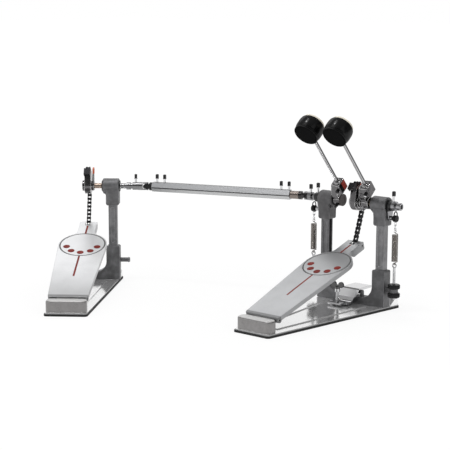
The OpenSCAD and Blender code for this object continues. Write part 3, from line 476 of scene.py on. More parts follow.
@dataclass(frozen=True)
class BoardAlloy(Finish):
    """A footboard's blasted alloy, with a spun tread inside its dark ring and a red stripe."""

    colour: Triple = (0.47, 0.475, 0.485)
    tread: Triple = (0.50, 0.505, 0.515)
    # Share of the colour left at the heel end by the painted shade.
    heel: float = 1.0
    ring: float = 53.6
    middle: float = 237.0
    line: float = 1.7
    floor: float = 6.0
    end: float = 5.2
    stripe: float = 2.3
    stripe_back: float = 96.0
    stripe_front: float = 42.0

    def make(self) -> Material:
        """Returns the built material."""
        s, p = self.start()
        speckle, cloud = s.noise(p, 1300, 3, 0.6), s.noise(p, 16)
        grain = speckle * 0.55 + cloud * 0.45
        colour = s.mottled(grain, self.colour, 0.82, 1.08, (0.32, 0.52, 0.7))
        x, y, z = s.axes(p)
        away = y - self.middle * MM
        radius = (x * x + away * away) ** 0.5
        top = z > self.floor * MM
        spun = s.noise(s.add("ShaderNodeCombineXYZ", values={0: radius}), 1500)
        inner = s.ramp(spun * 0.5 + cloud * 0.5, (0.3, tint(self.tread, 0.86)), (0.7, self.tread))
        # Painted shade: the colour darkens towards the heel, down to the heel factor.
        dim = s.level(y, 20 * MM, 130 * MM, self.heel, 1.0)
        colour = s.add("ShaderNodeVectorMath", {"operation": "SCALE"}, {0: colour, "Scale": dim})
        # Painted shade: the board's side walls, below the tread's floor, are darkened.
        colour = s.blend((z < self.floor * MM) * 0.3, colour, (0.12, 0.12, 0.12))
        # Painted shadow: the heel end face is darkened.
        colour = s.blend((y < self.end * MM) * 0.6, colour, (0.06, 0.06, 0.06))
        colour = s.blend(top * (radius < self.ring * MM), colour, inner)
        across = radius - self.ring * MM
        ring = (across * across < (self.line * MM) ** 2) * top
        colour = s.blend(ring, colour, (0.010, 0.009, 0.009))
        # Painted highlight: the board's edges are lightened.
        colour = s.blend(s.edges(1.6 * MM) * 0.6, colour, (0.86, 0.86, 0.87))
        red = (x * x < (self.stripe * MM) ** 2) * top
        red = red * (y > (self.middle - self.ring - self.stripe_back) * MM)
        red = red * (y < (self.middle + self.ring + self.stripe_front) * MM)
        red = red * (radius > (self.ring + self.line - 0.1) * MM)
        colour = s.blend(red, colour, (0.26, 0.045, 0.032))
        rough = s.level(speckle, 0.3, 0.7, 0.36, 0.47)
        metal = 0.82 - ring * 0.72 - red * 0.82
        return self.close(s, p, colour, rough, metal, bump=speckle, depth=0.03 * MM, edge=1.4 * MM)


@dataclass(frozen=True)
class Plating(Finish):
    """Bright plating with faint smudges."""

    colour: Triple
    roughness: float
    smudge: float = 0.05

    def make(self) -> Material:
        """Returns the built material."""
        s, p = self.start()
        cloud = s.noise(p, 45)
        colour = s.ramp(cloud, (0.35, tint(self.colour, 0.94)), (0.65, self.colour))
        rough = s.level(cloud, 0.35, 0.7, self.roughness, self.roughness + self.smudge)
        return self.close(s, p, colour, rough, 1.0, edge=0.5 * MM)


@dataclass(frozen=True)
class DarkChrome(Finish):
    """Smoke-dark polished plating over a casting, with painted highlights where its edges turn."""

    colour: Triple = (0.13, 0.127, 0.13)
    roughness: float = 0.14

    def make(self) -> Material:
        """Returns the built material."""
        s, p = self.start()
        cloud, ripple = s.noise(p, 75, 5, 0.6), s.noise(p, 70, 2)
        colour = s.mottled(cloud, self.colour, 0.85, 1.2, (0.34, 0.52, 0.70))
        # Painted highlight: the edges are lightened nearly to white.
        colour = s.blend(s.edges(2.6 * MM, 0.01, 0.16) * 0.95, colour, (0.92, 0.91, 0.91))
        rough = s.level(cloud, 0.35, 0.7, self.roughness - 0.04, self.roughness + 0.05)
        return self.close(s, p, colour, rough, 0.95, bump=ripple, depth=1.0 * MM, edge=1.6 * MM)


@dataclass(frozen=True)
class DarkSteel(Finish):
    """Blackened or oiled steel."""

    colour: Triple = (0.018, 0.018, 0.019)
    roughness: float = 0.36
    metallic: float = 0.55

    def make(self) -> Material:
        """Returns the built material."""
        s, p = self.start()
        grain = s.noise(p, 300)
        # Random lighter patches of wear.
        wear_and_highlight = s.level(s.noise(p, 90, 4), 0.6, 0.8, 0.0, 0.5)
        colour = s.blend(wear_and_highlight, self.colour, tint(self.colour, 3, 0.02))
        rough = s.level(grain, 0.3, 0.7, self.roughness - 0.08, self.roughness + 0.12)
        return self.close(s, p, colour, rough, self.metallic, bump=grain, depth=0.04 * MM,
                          edge=0.3 * MM)


@dataclass(frozen=True)
class Moulded(Finish):
    """Rubber or plastic."""

    colour: Triple
    roughness: float
    pebble: float
    depth: float
    specular: float = 0.5

    def make(self) -> Material:
        """Returns the built material."""
        s, p = self.start()
        pebble, cloud = s.noise(p, self.pebble), s.noise(p, 30)
        colour = s.ramp(cloud, (0.35, self.colour), (0.8, tint(self.colour, 1.5, 0.004)))
        rough = s.level(pebble, 0.3, 0.7, self.roughness - 0.04, self.roughness + 0.06)
        return self.close(s, p, colour, rough, 0.0, bump=pebble, depth=self.depth,
                          Specular_IOR_Level=self.specular)


@dataclass(frozen=True)
class Lacquer(Finish):
    """Deep black plastic of the beater heads: satin on the back disc, glossy round the body."""

    colour: Triple = (0.004, 0.004, 0.0042)
    disc: float = -16.2

    def make(self) -> Material:
        """Returns the built material."""
        s, p = self.start()
        _, y, z = s.axes(p)
        lean = radians(BEATER_LEAN)
        along = y * cos(lean) + z * sin(lean) - AXLE_HEIGHT * MM * sin(lean)
        cloud = s.noise(p, 90)
        colour = s.ramp(cloud, (0.4, self.colour), (0.7, tint(self.colour, 1.3)))
        rough = s.level(cloud, 0.35, 0.7, 0.45, 0.50)
        weight = 0.06 + (along > self.disc * MM) * 0.34
        return self.close(s, p, colour, rough, 0.0, edge=0.5 * MM, Specular_IOR_Level=0.0,
                          Coat_Weight=weight, Coat_Roughness=0.22)


@dataclass(frozen=True)
class Felt(Finish):
    """Pressed wool felt."""

    colour: Triple = (0.97, 0.91, 0.78)

    def make(self) -> Material:
        """Returns the built material."""
        s, p = self.start()
        wool, cloud = s.noise(p, 1100, 5, 0.7), s.noise(p, 90, 4)
        colour = s.ramp(wool * 0.5 + cloud * 0.5, (0.3, tint(self.colour, 0.85)),
                        (0.6, self.colour))
        return self.close(s, p, colour, 0.95, 0.0, bump=wool, depth=0.5 * MM, Sheen_Weight=0.4)


def chrome_rod(name: str, x: float) -> Plating:
    """Gives the plating of one beater's rod, with painted dark reflection lines down its length.

    Args:
        name: the material's name.
        x: the beater's place along the axle, in millimetres.

    Returns:
        The finish.
    """
    return Plating(name, (0.56, 0.56, 0.57), 0.10, place=rod_place(x) @ turned(ROD_REFLECTION_TURN, "Z"),
                   patches=(
        # Painted reflections: a dark band down one side of the rod and a thin dark line near its
        # middle.
        Patch((0.12, 0.12, 0.12), above(x=1.7), metallic=1.0, roughness=0.15),
        Patch((0.34, 0.34, 0.34), above(x=-0.9), below(x=0.3), metallic=1.0, roughness=0.15)))


def shared_finishes() -> dict[str, Finish]:
    """Returns the finishes of the record's material slots."""
    shaft = shaft_place()
    return {
        "mat_rubber": Moulded("rubber_mat", (0.010, 0.010, 0.010), 0.72, 700, 0.3 * MM),
        "base_steel": BrushedMetal(
            "base_plate_steel", (0.99, 0.99, 0.99), (0.05, 1, 1), 0.13, 0.74, 0.03, patches=(
                # Painted shade: the plate's side faces, below 7.3 mm, are darkened.
                Patch((0.34, 0.34, 0.345), high=below(z=7.3), metallic=0.7, roughness=0.35),)),
        "heel_casting": CastMetal(
            "heel_block_alloy", (0.27, 0.262, 0.26), 0.32, metallic=0.85, rub=3.0, mottle=0.12,
            edge=2.0, patches=(
                # Painted highlight: the block's top, above 32.6 mm, is lightened.
                Patch((0.66, 0.655, 0.65), above(z=32.6), metallic=0.45, roughness=0.42),)),
        "cast_grey": CastMetal("grey_casting"),
        "post_grey": CastMetal("grey_post", (0.215, 0.215, 0.222), 0.40),
        "steel_pin": Plating("pin_steel", (0.62, 0.62, 0.63), 0.16),
        "axle_steel": Plating("axle_steel", (0.62, 0.53, 0.40), 0.16, patches=(
            Patch((0.40, 0.40, 0.41), above(x=84), metallic=1.0, roughness=0.10),
            # Painted shade: a black square on the axle's end face stands in for the shade in its
            # socket.
            Patch(BLACK, (118.2, -4.6, 235.4), below(y=4.6, z=244.6), roughness=0.5))),
        "black_steel": DarkSteel("black_steel"),
        "chain_steel": DarkSteel("chain_steel", (0.022, 0.022, 0.024), 0.30, 0.8),
        "clamp_chrome": Plating("clamp_chrome", (0.66, 0.66, 0.67), 0.10),
        "grip_red": Moulded("red_grip", (0.185, 0.016, 0.010), 0.6, 900, 0.2 * MM, 0.3),
        "head_black": Lacquer("black_head"),
        "felt_cream": Felt("cream_felt"),
        "spring_steel": Plating("spring_steel", (0.33, 0.305, 0.285), 0.24),
        "link_steel": Plating("link_wire", (0.80, 0.80, 0.81), 0.10),
        "shank_steel": BrushedMetal(
            "shank_steel", (0.25, 0.215, 0.195), (0.04, 1, 1), 0.26, 0.9, place=shaft, patches=(
                Patch((0.06, 0.058, 0.058), high=below(x=17.5), metallic=1.0, roughness=0.16),)),
        "tube_alloy": BrushedMetal(
            "tube_alloy", (0.40, 0.405, 0.415), (0.02, 1, 1), 0.34, 0.92, 0.03, 0.0,
            place=shaft, patches=(
                # Painted reflections: the lower face is lightened, a dark line runs just below the
                # middle and the top is darkened.
                Patch((0.56, 0.565, 0.57), high=below(z=-3.0), metallic=0.85, roughness=0.36),
                Patch((0.07, 0.07, 0.073), above(z=-3.1), below(z=-0.4), metallic=0.7),
                Patch((0.24, 0.24, 0.245), above(z=10.9), metallic=0.9, roughness=0.34))),
    }


def arm(name: str, colour: Triple, ball: float, plate: Patch) -> Plating:
    """Gives the plating of a rocker whose ball and clamp are black.

    Args:
        name: the material's name.
        colour: the plating's colour.
        ball: the ball's place along X.
        plate: the patch over the clamp.

    Returns:
        The finish.
    """
    return Plating(name, colour, 0.12, patches=(plate, Patch(
        BLACK, centre=(ball, 0, BALL_HEIGHT), radius=BALL_REACH, metallic=0.8, roughness=0.3)))


def screws(name: str, *boxes: tuple[Triple, Triple]) -> DarkSteel:
    """Gives the steel of black-headed screws whose shanks, in those boxes, are bright."""
    return DarkSteel(name, patches=tuple(
        Patch(BRIGHT, low, high, metallic=1.0, roughness=0.14) for low, high in boxes))


def own_finishes() -> dict[str, Finish]:
    """Returns the finishes that belong to one node each, by its name."""
    slave = slave_place()
    tip = Patch((0.62, 0.10, 0.02), above(x=10.0, z=270.0), roughness=0.35)
    return {
        "left_beater_clamp": DarkChrome(
            "left_clamp_chrome", place=rod_place(LEFT_BEATER), patches=(
                Patch((0.36, 0.05, 0.036), (8.4, -2.0, 38.0), (14.0, 14.0, 61.0), roughness=0.35),
                Patch(BROWN, (-15.0, -14.1, -14.1), (-11.0, 14.1, 14.1)))),
        "right_beater_clamp": DarkChrome("right_clamp_chrome"),
        "master_cam": DarkChrome("master_cam_chrome", patches=(tip,)),
        "slave_cam": DarkChrome("slave_cam_chrome", patches=(tip,), place=slave),
        # Painted shade: the right rocker's plating is a darker copy (0.32) of the left one's
        # (0.50).
        "right_rocker": arm("right_rocker_chrome", (0.32, 0.32, 0.33), RIGHT_BALL, Patch(
            BLACK, above(z=228), below(x=97.5), roughness=0.3)),
        "left_rocker": arm("left_rocker_chrome", (0.50, 0.50, 0.51), LEFT_BALL, Patch(
            BLACK, above(z=229), below(x=-104.5), roughness=0.3)),
        "master_axle_screws": screws("master_screw_steel", (above(), below(z=262.8))),
        "left_axle_screws": screws(
            "left_screw_steel", (above(x=-121), below(x=-90, z=262.8)),
            (above(), below(x=-121, z=257.8))),
        "slave_axle_screws": screws("slave_screw_steel", (above(), below(z=258.8))),
        "drive_tube_screws": screws("tube_screw_steel", (above(), below(z=260.4))),
        "left_axle": Plating("left_axle_chrome", (0.24, 0.24, 0.245), 0.12, patches=(
            Patch(BROWN, above(x=-43)),)),
        "slave_axle": Plating("slave_axle_chrome", (0.29, 0.29, 0.295), 0.27, place=slave, patches=(
            Patch((0.44, 0.35, 0.29), above(x=14), below(x=40), metallic=0.9, roughness=0.24),)),
        "left_rod": chrome_rod("left_rod_chrome", LEFT_BEATER),
        "right_rod": chrome_rod("right_rod_chrome", RIGHT_BEATER),
        "clamp_screw": Plating("clamp_screw_chrome", (0.62, 0.62, 0.63), 0.12, patches=(
            Patch((0.10, 0.10, 0.10), above(z=46), metallic=1.0, roughness=0.18),)),
        "clamp_upper_jaw": Plating("upper_jaw_chrome", (0.66, 0.66, 0.67), 0.10, patches=(
            Patch((0.80, 0.80, 0.81), above(y=-26, z=23), below(y=-8.1, z=38.4), metallic=0.35,
                  roughness=0.3),
            Patch((0.05, 0.05, 0.05), above(y=-8.1, z=37.5), below(y=-3.1), metallic=0.6,
                  roughness=0.3))),
        # Painted shade and light: the left housing and left post are darker copies of the grey
        # casting, the right post a lighter one.
        "left_housing": CastMetal("left_grey_casting", (0.115, 0.113, 0.116)),
        "left_post": CastMetal("left_grey_post", (0.150, 0.150, 0.155), 0.40),
        "right_post": CastMetal("right_grey_post", (0.255, 0.255, 0.262), 0.40),
        "master_footboard": BoardAlloy("master_board_alloy", place=board_place(Side.MASTER)),
        # Painted light: the slave board is a lighter copy of the master's alloy, with painted shade
        # towards its heel (0.66).
        "slave_footboard": BoardAlloy(
            "slave_board_alloy", (0.76, 0.765, 0.775), (0.78, 0.785, 0.795), 0.66,
            place=board_place(Side.SLAVE)),
    }


@dataclass
class Finishes:
    """Every finish of the pedal, by material slot or by the one node that has it."""

    made: dict[str, Material] = field(default_factory=dict)

    def make(self) -> None:
        """Builds the materials."""
        for key, finish in {**shared_finishes(), **own_finishes()}.items():
            self.made[key] = finish.make()

    def __getitem__(self, key: str) -> Material:
        """Gives the material of that slot or node."""
        return self.made[key]


@dataclass
class CadModel:
    """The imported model's own pieces, which only get their finishes here."""

    finishes: Finishes

    def dress(self) -> None:
        """Puts a finish in every material slot of every node."""
        slots = {part["node"]: part["material_slot"] for part in frame["record"]["subparts"]}
        for name, obj in frame["nodes"].items():
            key = name if name in self.finishes.made else slots[name]
            for slot in obj.material_slots:
                slot.material = self.finishes[key]
        log.info("dressed %d nodes", len(frame["nodes"]))


def show(name: str, data: Any) -> Object:
    """Puts new data into the scene as an object at the origin and returns that object."""
    bpy.context.scene.collection.objects.link(obj := bpy.data.objects.new(name, data))
    return obj


def mesh_object(name: str, bm: bmesh.types.BMesh, material: Material,
                smooth: bool = True) -> Object:
    """Turns a bmesh, in millimetres, into an object at the origin.

    Args:
        name: the object's name.
        bm: the mesh, which is freed.
        material: its finish.
        smooth: whether its faces are shaded smooth.

    Returns:
        The object.
    """
    bmesh.ops.remove_doubles(bm, verts=bm.verts, dist=1e-6)
    bmesh.ops.recalc_face_normals(bm, faces=bm.faces)
    bmesh.ops.scale(bm, vec=(MM, MM, MM), verts=bm.verts)
    for face in bm.faces:
        face.smooth = smooth
    mesh = bpy.data.meshes.new(name)
    bm.to_mesh(mesh)
    bm.free()
    mesh.materials.append(material)
    return show(name, mesh)


def lathe(bm: bmesh.types.BMesh, profile: Sequence[tuple[float, float]], sides: int) -> None:
    """Turns a profile round the Z axis; an end on the axis closes there.

    Args:
        bm: the mesh that takes it.
        profile: radius and height of each point.
        sides: the points of each ring.
    """
    rings = [[bm.verts.new((radius * cos(tau * k / sides), radius * sin(tau * k / sides), height))
              for k in range(sides if radius else 1)] for radius, height in profile]
    for low, high in zip(rings, rings[1:]):
        for k in range(sides):
            m = (k + 1) % sides
            corners = ((low, k), (low, m), (high, m), (high, k))
            unique = list(dict.fromkeys(ring[j % len(ring)] for ring, j in corners))
            if len(unique) > 2:
                bm.faces.new(unique)


class Tree(Nodes):
    """Builds one Geometry Nodes tree and lays it over objects."""

    def __init__(self, name: str, inputs: dict[str, str]) -> None:
        """Makes the tree.

        Args:
            name: its name.
            inputs: the kind of each named input after the geometry, such as Float.
        """
        super().__init__(bpy.data.node_groups.new(name, "GeometryNodeTree"))
        face = self.tree.interface
        for way in ("INPUT", "OUTPUT"):
            face.new_socket("Geometry", in_out=way, socket_type="NodeSocketGeometry")
        self.keys: dict[str, str] = {}
        for label, kind in {**inputs, "Finish": "Material"}.items():
            socket = face.new_socket(label, in_out="INPUT", socket_type=f"NodeSocket{kind}")
            self.keys[label] = socket.identifier
        entry = self.tree.nodes.new("NodeGroupInput")
        self.given = {socket.name: Wire(self, socket) for socket in entry.outputs}

    def close(self, geometry: Wire) -> None:
        """Ends the tree in smooth shading, Realize Instances and Set Material.

        Args:
            geometry: the wire of what was built.
        """
        smooth = self.add("GeometryNodeSetShadeSmooth", values={0: geometry})
        plain = self.add("GeometryNodeRealizeInstances", values={0: smooth})
        self.end("NodeGroupOutput", self.add("GeometryNodeSetMaterial", values={
            0: plain, "Material": self.given["Finish"]}))

    def grow(self, name: str, data: Any, material: Material,
             values: dict[str, Any]) -> Object:
        """Runs the tree on a curve or mesh.

        Args:
            name: the new piece's name.
            data: the curve or mesh whose geometry goes in.
            material: the finish.
            values: the named inputs.

        Returns:
            A plain mesh object.
        """
        carrier = show(name, data)
        layer = carrier.modifiers.new("tree", "NODES")
        layer.node_group = self.tree
        for label, value in {**values, "Finish": material}.items():
            layer[self.keys[label]] = value
        bpy.context.view_layer.update()
        seen = carrier.evaluated_get(bpy.context.evaluated_depsgraph_get())
        mesh = bpy.data.meshes.new_from_object(seen)
        bpy.data.objects.remove(carrier)
        mesh.name = name
        return show(name, mesh)


class WireTree(Tree):
    """Sweeps a round wire along the carrier's curve."""

    def __init__(self) -> None:
        """Builds the tree."""
        super().__init__("round_wire", {"Wire radius": "Float", "Sides": "Int"})
        ring = self.add("GeometryNodeCurvePrimitiveCircle", values={
            "Resolution": self.given["Sides"], "Radius": self.given["Wire radius"]})
        self.close(self.add("GeometryNodeCurveToMesh", values={
            0: self.given["Geometry"], "Profile Curve": ring, "Fill Caps": True}))

    def wire(self, name: str, points: Sequence[Vector], radius: float,
             material: Material, sides: int = 12,
             closed: bool = False) -> Object:
        """Makes one wire.

        Args:
            name: the piece's name.
            points: the path, in millimetres.
            radius: the wire's radius, in millimetres.
            material: its finish.
            sides: the sides of its section.
            closed: whether the path is a ring.

        Returns:
            The wire.
        """
        data = bpy.data.curves.new(name, "CURVE")
        data.dimensions = "3D"
        spline = data.splines.new("POLY")
        spline.points.add(len(points) - 1)
        for point, place in zip(spline.points, points):
            point.co = (*(place * MM), 1.0)
        spline.use_cyclic_u = closed
        return self.grow(name, data, material, {"Wire radius": radius * MM, "Sides": sides})


class RingTree(Tree):
    """Stands small teeth in a ring about the origin, as knurling has them, then moves the ring."""

    def __init__(self) -> None:
        """Builds the tree."""
        super().__init__("ring_of_teeth", {
            "Count": "Int", "Ring radius": "Float", "Tooth radius": "Float",
            "Tooth height": "Float", "Place": "Vector", "Turn": "Vector"})
        ring = self.add("GeometryNodeMeshCircle", values={
            "Vertices": self.given["Count"], "Radius": self.given["Ring radius"]})
        tooth = self.add("GeometryNodeMeshCylinder", {"fill_type": "NGON"}, {
            "Vertices": 8, "Radius": self.given["Tooth radius"],
            "Depth": self.given["Tooth height"]})
        row = self.add("GeometryNodeInstanceOnPoints", values={0: ring, "Instance": tooth})
        self.close(self.add("GeometryNodeTransform", values={
            0: row, "Translation": self.given["Place"], "Rotation": self.given["Turn"]}))

    def ring(self, name: str, count: int, radius: float, tooth: float, height: float,
             place: Triple, material: Material, turn: float) -> Object:
        """Makes one ring of teeth.

        Args:
            name: the piece's name.
            count: how many teeth.
            radius: the ring's radius, in millimetres.
            tooth: the radius of a tooth.
            height: the length of a tooth.
            place: the ring's centre.
            material: its finish.
            turn: the ring's turn, in degrees.

        Returns:
            The ring.
        """
        return self.grow(name, bpy.data.meshes.new(name), material, {
            "Count": count, "Ring radius": radius * MM, "Tooth radius": tooth * MM,
            "Tooth height": height * MM, "Place": tuple(Vector(place) * MM),
            "Turn": (0, 0, radians(turn))})


def helix(x: float, radius: float, low: float, high: float, pitch: float) -> list[Vector]:
    """Gives an upright helix round the line at x and Y 0, in millimetres."""
    turns = [k / PER_TURN for k in range(int((high - low) / pitch * PER_TURN) + 1)]
    return [Vector((x + radius * cos(tau * turn), radius * sin(tau * turn), low + pitch * turn))
            for turn in turns]


def arc(x: float, height: float, radius: float, angles: Iterable[float]) -> list[Vector]:
    """Gives points of a circle that stands across X; its angles are degrees from the Y axis."""
    return [Vector((x, radius * cos(radians(a)), height + radius * sin(radians(a))))
            for a in angles]


@dataclass
class ReturnSpring:
    """A return spring: its coil with both end hooks, the bright links and the ball's black hook."""

    name: str
    x: float
    node: str
    mean: float = 6.45
    wire: float = 0.85
    foot: float = 115.0
    top: float = 176.6
    rise: float = 2.2
    eye: float = 110.6
    eye_hook: float = 3.0
    hook: float = 6.15
    hook_foot: float = 204.0
    hook_wire: float = 1.25
    slack: float = 9.0
    link_half: float = 3.1
    link_waist: float = 0.28
    link_wire: float = 0.9
    links: tuple[Triple, ...] = ((181.0, 191.2, 60.0), (188.4, 198.4, -30.0), (195.6, 206.0, 55.0))

    def near(self, height: float, *steps: Triple) -> list[Vector]:
        """Gives points by their steps from the spring's own line at that height."""
        return [Vector((self.x + x, y, height + z)) for x, y, z in steps]

    def coil_path(self) -> list[Vector]:
        """Returns the path of the lower hook, the coil and the upper hook."""
        points = arc(self.x, self.eye, self.eye_hook, (130 + 14.5 * k for k in range(21)))
        points += self.near(self.foot, (2.58, -1.6, -1.1), (5.16, -2.6, -0.5))
        points += helix(self.x, self.mean, self.foot, self.top, self.rise)
        return points + self.near(
            self.top, (5.2, 3.2, 0.8), (2.4, 2.4, 1.8), (0, 0, 3.4), (-2.6, -1.0, 5.6),
            (-1.8, -0.6, 8.4), (0.6, 0.2, 9.2), (2.6, 0.8, 7.4))

    def loop(self, low: float, high: float, turn: float) -> list[Vector]:
        """Gives a long closed loop of wire, waisted in the middle.

        Args:
            low: its lowest point.
            high: its highest point.
            turn: how far it is turned about its own upright line, in degrees.

        Returns:
            The points.
        """
        middle, reach = (low + high) / 2, (high - low) / 2
        way = Vector((cos(radians(turn)), sin(radians(turn)), 0)) * self.link_half
        points = []
        for k in range(36):
            a = tau * k / 36
            wide = cos(a) * (1 - self.link_waist * cos(a * 2))
            points.append(Vector((self.x, 0, middle + reach * sin(a))) + way * wide)
        return points

    def hook_path(self) -> list[Vector]:
        """Returns the long hook round the ball, with the slack that the ball needs as it swings."""
        points = self.near(self.hook_foot, (0, 0, 0))
        for first, last, lift in ((-5, 0, 0.0), (0, 15, self.slack), (15, 19, 0.0)):
            points += arc(self.x, BALL_HEIGHT + lift, self.hook,
                          (12 * k for k in range(first, last + 1)))
        return points

    def build(self, wires: WireTree, finishes: Finishes) -> None:
        """Makes the spring's pieces.

        Args:
            wires: the wire tree.
            finishes: the finishes.
        """
        coil = wires.wire(f"{self.name}_coil", self.coil_path(), self.wire,
                          finishes["spring_steel"])
        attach(coil, self.name)
        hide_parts(self.node)
        for count, shape in enumerate(self.links):
            link = wires.wire(f"{self.name}_link_{count}", self.loop(*shape), self.link_wire,
                              finishes["link_steel"], closed=True)
            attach(link, self.name)
        hook = wires.wire(f"{self.name}_hook", self.hook_path(), self.hook_wire,
                          finishes["black_steel"])
        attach(hook, self.name)
        log.info("made the %s", self.name)


@dataclass
class TensionRod:
    """The threads of an eye bolt and the knurling of its two nuts."""

    name: str
    x: float
    radius: float = 2.9
    thread: float = 0.3
    pitch: float = 1.0
    threads: tuple[tuple[str, float, float], ...] = (("upper", 63.6, 92.0), ("lower", 28.2, 33.4))
    teeth: int = 54
    tooth: float = 0.62
    tooth_height: float = 7.4
    nut: float = 13.2
    nuts: tuple[tuple[str, float], ...] = (("upper", 58.3), ("lower", 38.7))
    turn: float = 10.0

    def build(self, wires: WireTree, teeth: RingTree, finishes: Finishes) -> None:
        """Makes the threads and the knurling.

        Args:
            wires: the wire tree.
            teeth: the tooth tree.
            finishes: the finishes.
        """
        for label, start, end in self.threads:
            path = helix(self.x, self.radius, start, end, self.pitch)
            thread = wires.wire(f"{self.name}_{label}_thread", path, self.thread,
                                finishes["clamp_chrome"], 6)
            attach(thread, "master_frame")
        for label, middle in self.nuts:
            ring = teeth.ring(f"{self.name}_{label}_knurl", self.teeth, self.nut, self.tooth,
                              self.tooth_height, (self.x, 0, middle), finishes["black_steel"],
                              self.turn)
            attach(ring, "master_frame")
        log.info("made the threads and knurling of the %s", self.name)


@dataclass
class BeaterFelt:
    """A beater's felt face, as pressed wool with a soft edge."""

    name: str
    x: float
    body: str
    node: str
    reach: float = 228.0
    face: float = 19.66
    radius: float = 25.3
    thick: float = 5.4
    dome: float = 1.0
    gap: float = 0.05
    rim: float = 0.5
    swell: float = 0.15
    rounding: float = 4.0
    nap: float = 0.16
    press: float = 0.04
    sides: int = 96

    def profile(self) -> list[tuple[float, float]]:
        """Returns the radius and height of the felt's outline, from the back to the front."""
        r, t, rim = self.radius, self.thick, self.rim
        points = [(r * k / 8, self.gap) for k in range(8)] + [(r - 0.4, self.gap), (r, rim)]
        points += [(r - self.swell * sin(pi * k / 6), rim + k / 6 * t * 0.6) for k in range(1, 7)]
        corner = t * 0.4 - rim
        for a in (radians(15 * k) for k in range(1, 7)):
            points.append((r - self.rounding * (1 - cos(a)), t - corner + corner * sin(a)))
        return points + [(k * (r - self.rounding) / 10, t + self.dome * (1 - (k / 10) ** 2))
                         for k in range(9, -1, -1)]

    def build(self, finishes: Finishes) -> None:
        """Makes the felt.

        Args:
            finishes: the finishes.
        """
        bm = bmesh.new()
        lathe(bm, self.profile(), self.sides)
        for vert in bm.verts:
            if vert.co.z > 0.3:
                out = Vector((vert.co.x, vert.co.y, max(0.0, vert.co.z - 5))).normalized()
                wool = noise.fractal(vert.co * 0.9, 0.7, 2.0, 4)
                vert.co += out * (self.nap * wool - self.press)
        place = rod_place(self.x) @ Matrix.Translation((0, self.face, self.reach))
        bmesh.ops.transform(bm, matrix=place @ turned(-90, "X"), verts=bm.verts)
        felt = mesh_object(self.name, bm, finishes["felt_cream"])
        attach(felt, self.body)
        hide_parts(self.node)
        log.info("made the %s", self.name)


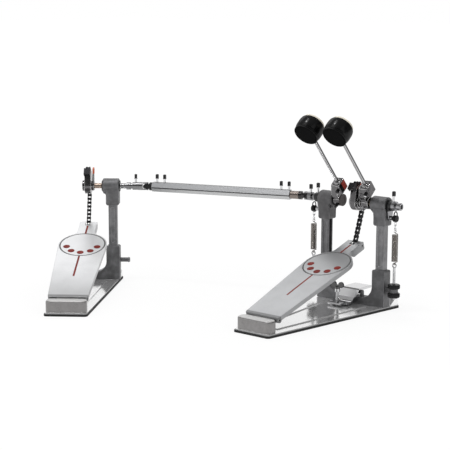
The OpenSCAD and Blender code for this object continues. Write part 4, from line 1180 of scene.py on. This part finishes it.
@dataclass
class Studio:
    """Floor, backdrop colour, lamps and camera; lengths in metres, angles in degrees."""

    floor_size: float = 60.0
    floor_height: float = -0.00002
    floor_grey: float = 0.93
    shadow: tuple[float, float] = (-0.3, -0.2)
    shadow_near: float = 0.40
    shadow_far: float = 0.9
    shadow_glow: float = 0.84
    wall: float = 0.14
    upper: float = 0.55
    ceiling: float = 0.4
    strip: float = 0.7
    ambient: float = 0.62
    glow: float = 1.03
    aim: Triple = (-0.25, -0.15, 0.15)
    eye: Triple = (1.7317, -2.4647, 0.6940)
    azimuth: float = 40.794
    elevation: float = 9.927
    roll: float = 0.148
    lens: float = 106.84
    shift: tuple[float, float] = (-0.0006, 0.0156)

    def floor(self) -> None:
        """Makes the pale floor, which keeps the shadow."""
        bm = bmesh.new()
        half, height = self.floor_size / MM / 2, self.floor_height / MM
        bm.faces.new([bm.verts.new((x * half, y * half, height))
                      for x, y in ((-1, -1), (1, -1), (1, 1), (-1, 1))])
        s = Shader("pale_floor")
        seen, mirrored = s.rays()
        matt = s.add("ShaderNodeBsdfDiffuse", values={"Color": (self.floor_grey,) * 3})
        glow = s.add("ShaderNodeEmission", values={"Color": (1, 1, 1), "Strength": self.glow})
        x, y, _ = s.axes(s.place())
        x, y = x - self.shadow[0], y - self.shadow[1]
        away = (x * x + y * y) ** 0.5
        share = s.level(away, self.shadow_near, self.shadow_far, self.shadow_glow, 1.0)
        s.end("ShaderNodeOutputMaterial", s.add("ShaderNodeMixShader", values={
            0: (seen + mirrored) * share, 1: matt, 2: glow}))
        mesh_object("studio_floor", bm, s.material, smooth=False)

    def world(self) -> None:
        """Sets a white backdrop over a soft even light; mirrors see a room with dark sides."""
        s = Shader("studio_world", world=True)
        seen, mirrored = s.rays()
        x, y, z = s.axes(s.add("ShaderNodeTexCoord", out="Generated"))
        turn = radians(self.azimuth)
        ahead = y * cos(turn) - x * sin(turn)
        aside = x * cos(turn) + y * sin(turn)
        shade = s.level(aside, 0.0, 1.0, 0.0, 0.5)
        room = s.level(ahead - shade, 0.0, 0.6, self.wall, 1.0)
        room = room * s.level(z, 0.22, 0.5, 1.0, self.upper)
        room = room + s.level(z, 0.55, 0.95, 0.0, self.ceiling) * (1 - room)
        room = room + s.level(aside, -0.95, -0.60, self.strip, 0.0) * (1 - room)
        other = mirrored * room + (1 - mirrored) * self.ambient
        s.end("ShaderNodeOutputWorld", s.add("ShaderNodeBackground", values={
            "Color": (1, 1, 1), "Strength": seen + (1 - seen) * other}))
        bpy.context.scene.world = s.material

    def lamp(self, name: str, place: Triple, width: float, height: float, power: float) -> None:
        """Hangs one soft lamp that faces the pedal.

        Args:
            name: its name.
            place: where it hangs.
            width: its width.
            height: its height.
            power: its power, in watts.
        """
        data = bpy.data.lights.new(name, "AREA")
        data.shape = "RECTANGLE"
        data.size, data.size_y, data.energy = width, height, power
        obj = show(name, data)
        obj.location = place
        aim = Vector(self.aim) - Vector(place)
        obj.rotation_euler = aim.to_track_quat("-Z", "Y").to_euler()

    def camera(self) -> None:
        """Places the camera at the photograph's angle."""
        data = bpy.data.cameras.new("camera")
        data.sensor_fit = "HORIZONTAL"
        data.sensor_width, data.lens, data.clip_end = 36.0, self.lens, 200.0
        data.shift_x, data.shift_y = self.shift
        obj = show("camera", data)
        obj.location = self.eye
        tilt = turned(90 - self.elevation, "X")
        obj.rotation_euler = (turned(self.azimuth, "Z") @ tilt @ turned(self.roll, "Z")).to_euler()
        bpy.context.scene.camera = obj

    def build(self) -> None:
        """Sets up the whole studio."""
        bpy.context.scene.view_settings.view_transform = "Standard"
        self.floor()
        self.world()
        self.lamp("key_lamp", (-0.6, -1.6, 2.4), 1.5, 1.0, 8)
        self.lamp("spark_lamp", (-0.43, -0.60, 2.30), 0.30, 0.30, 8)
        self.lamp("side_lamp", (2.2, -0.4, 1.5), 1.2, 1.6, 4)
        self.lamp("back_lamp", (-1.7, 0.9, 1.9), 1.6, 1.0, 6)
        self.camera()
        log.info("set up the studio")


def main() -> None:
    """Builds every class in order."""
    logging.basicConfig(level=logging.INFO, format="%(name)s: %(message)s")
    Studio().build()
    finishes = Finishes()
    finishes.make()
    CadModel(finishes).dress()
    wires, teeth = WireTree(), RingTree()
    for spring in (ReturnSpring("right_return_spring", RIGHT_BALL, "right_spring"),
                   ReturnSpring("left_return_spring", LEFT_BALL, "left_spring")):
        spring.build(wires, finishes)
    for rod in (TensionRod("right_tension_rod", RIGHT_BALL),
                TensionRod("left_tension_rod", LEFT_BALL)):
        rod.build(wires, teeth, finishes)
    for felt in (BeaterFelt("right_beater_felt", RIGHT_BEATER, "right_beater", "right_head_felt"),
                 BeaterFelt("left_beater_felt", LEFT_BEATER, "left_beater", "left_head_felt")):
        felt.build(finishes)


if __name__ == "__main__":
    main()
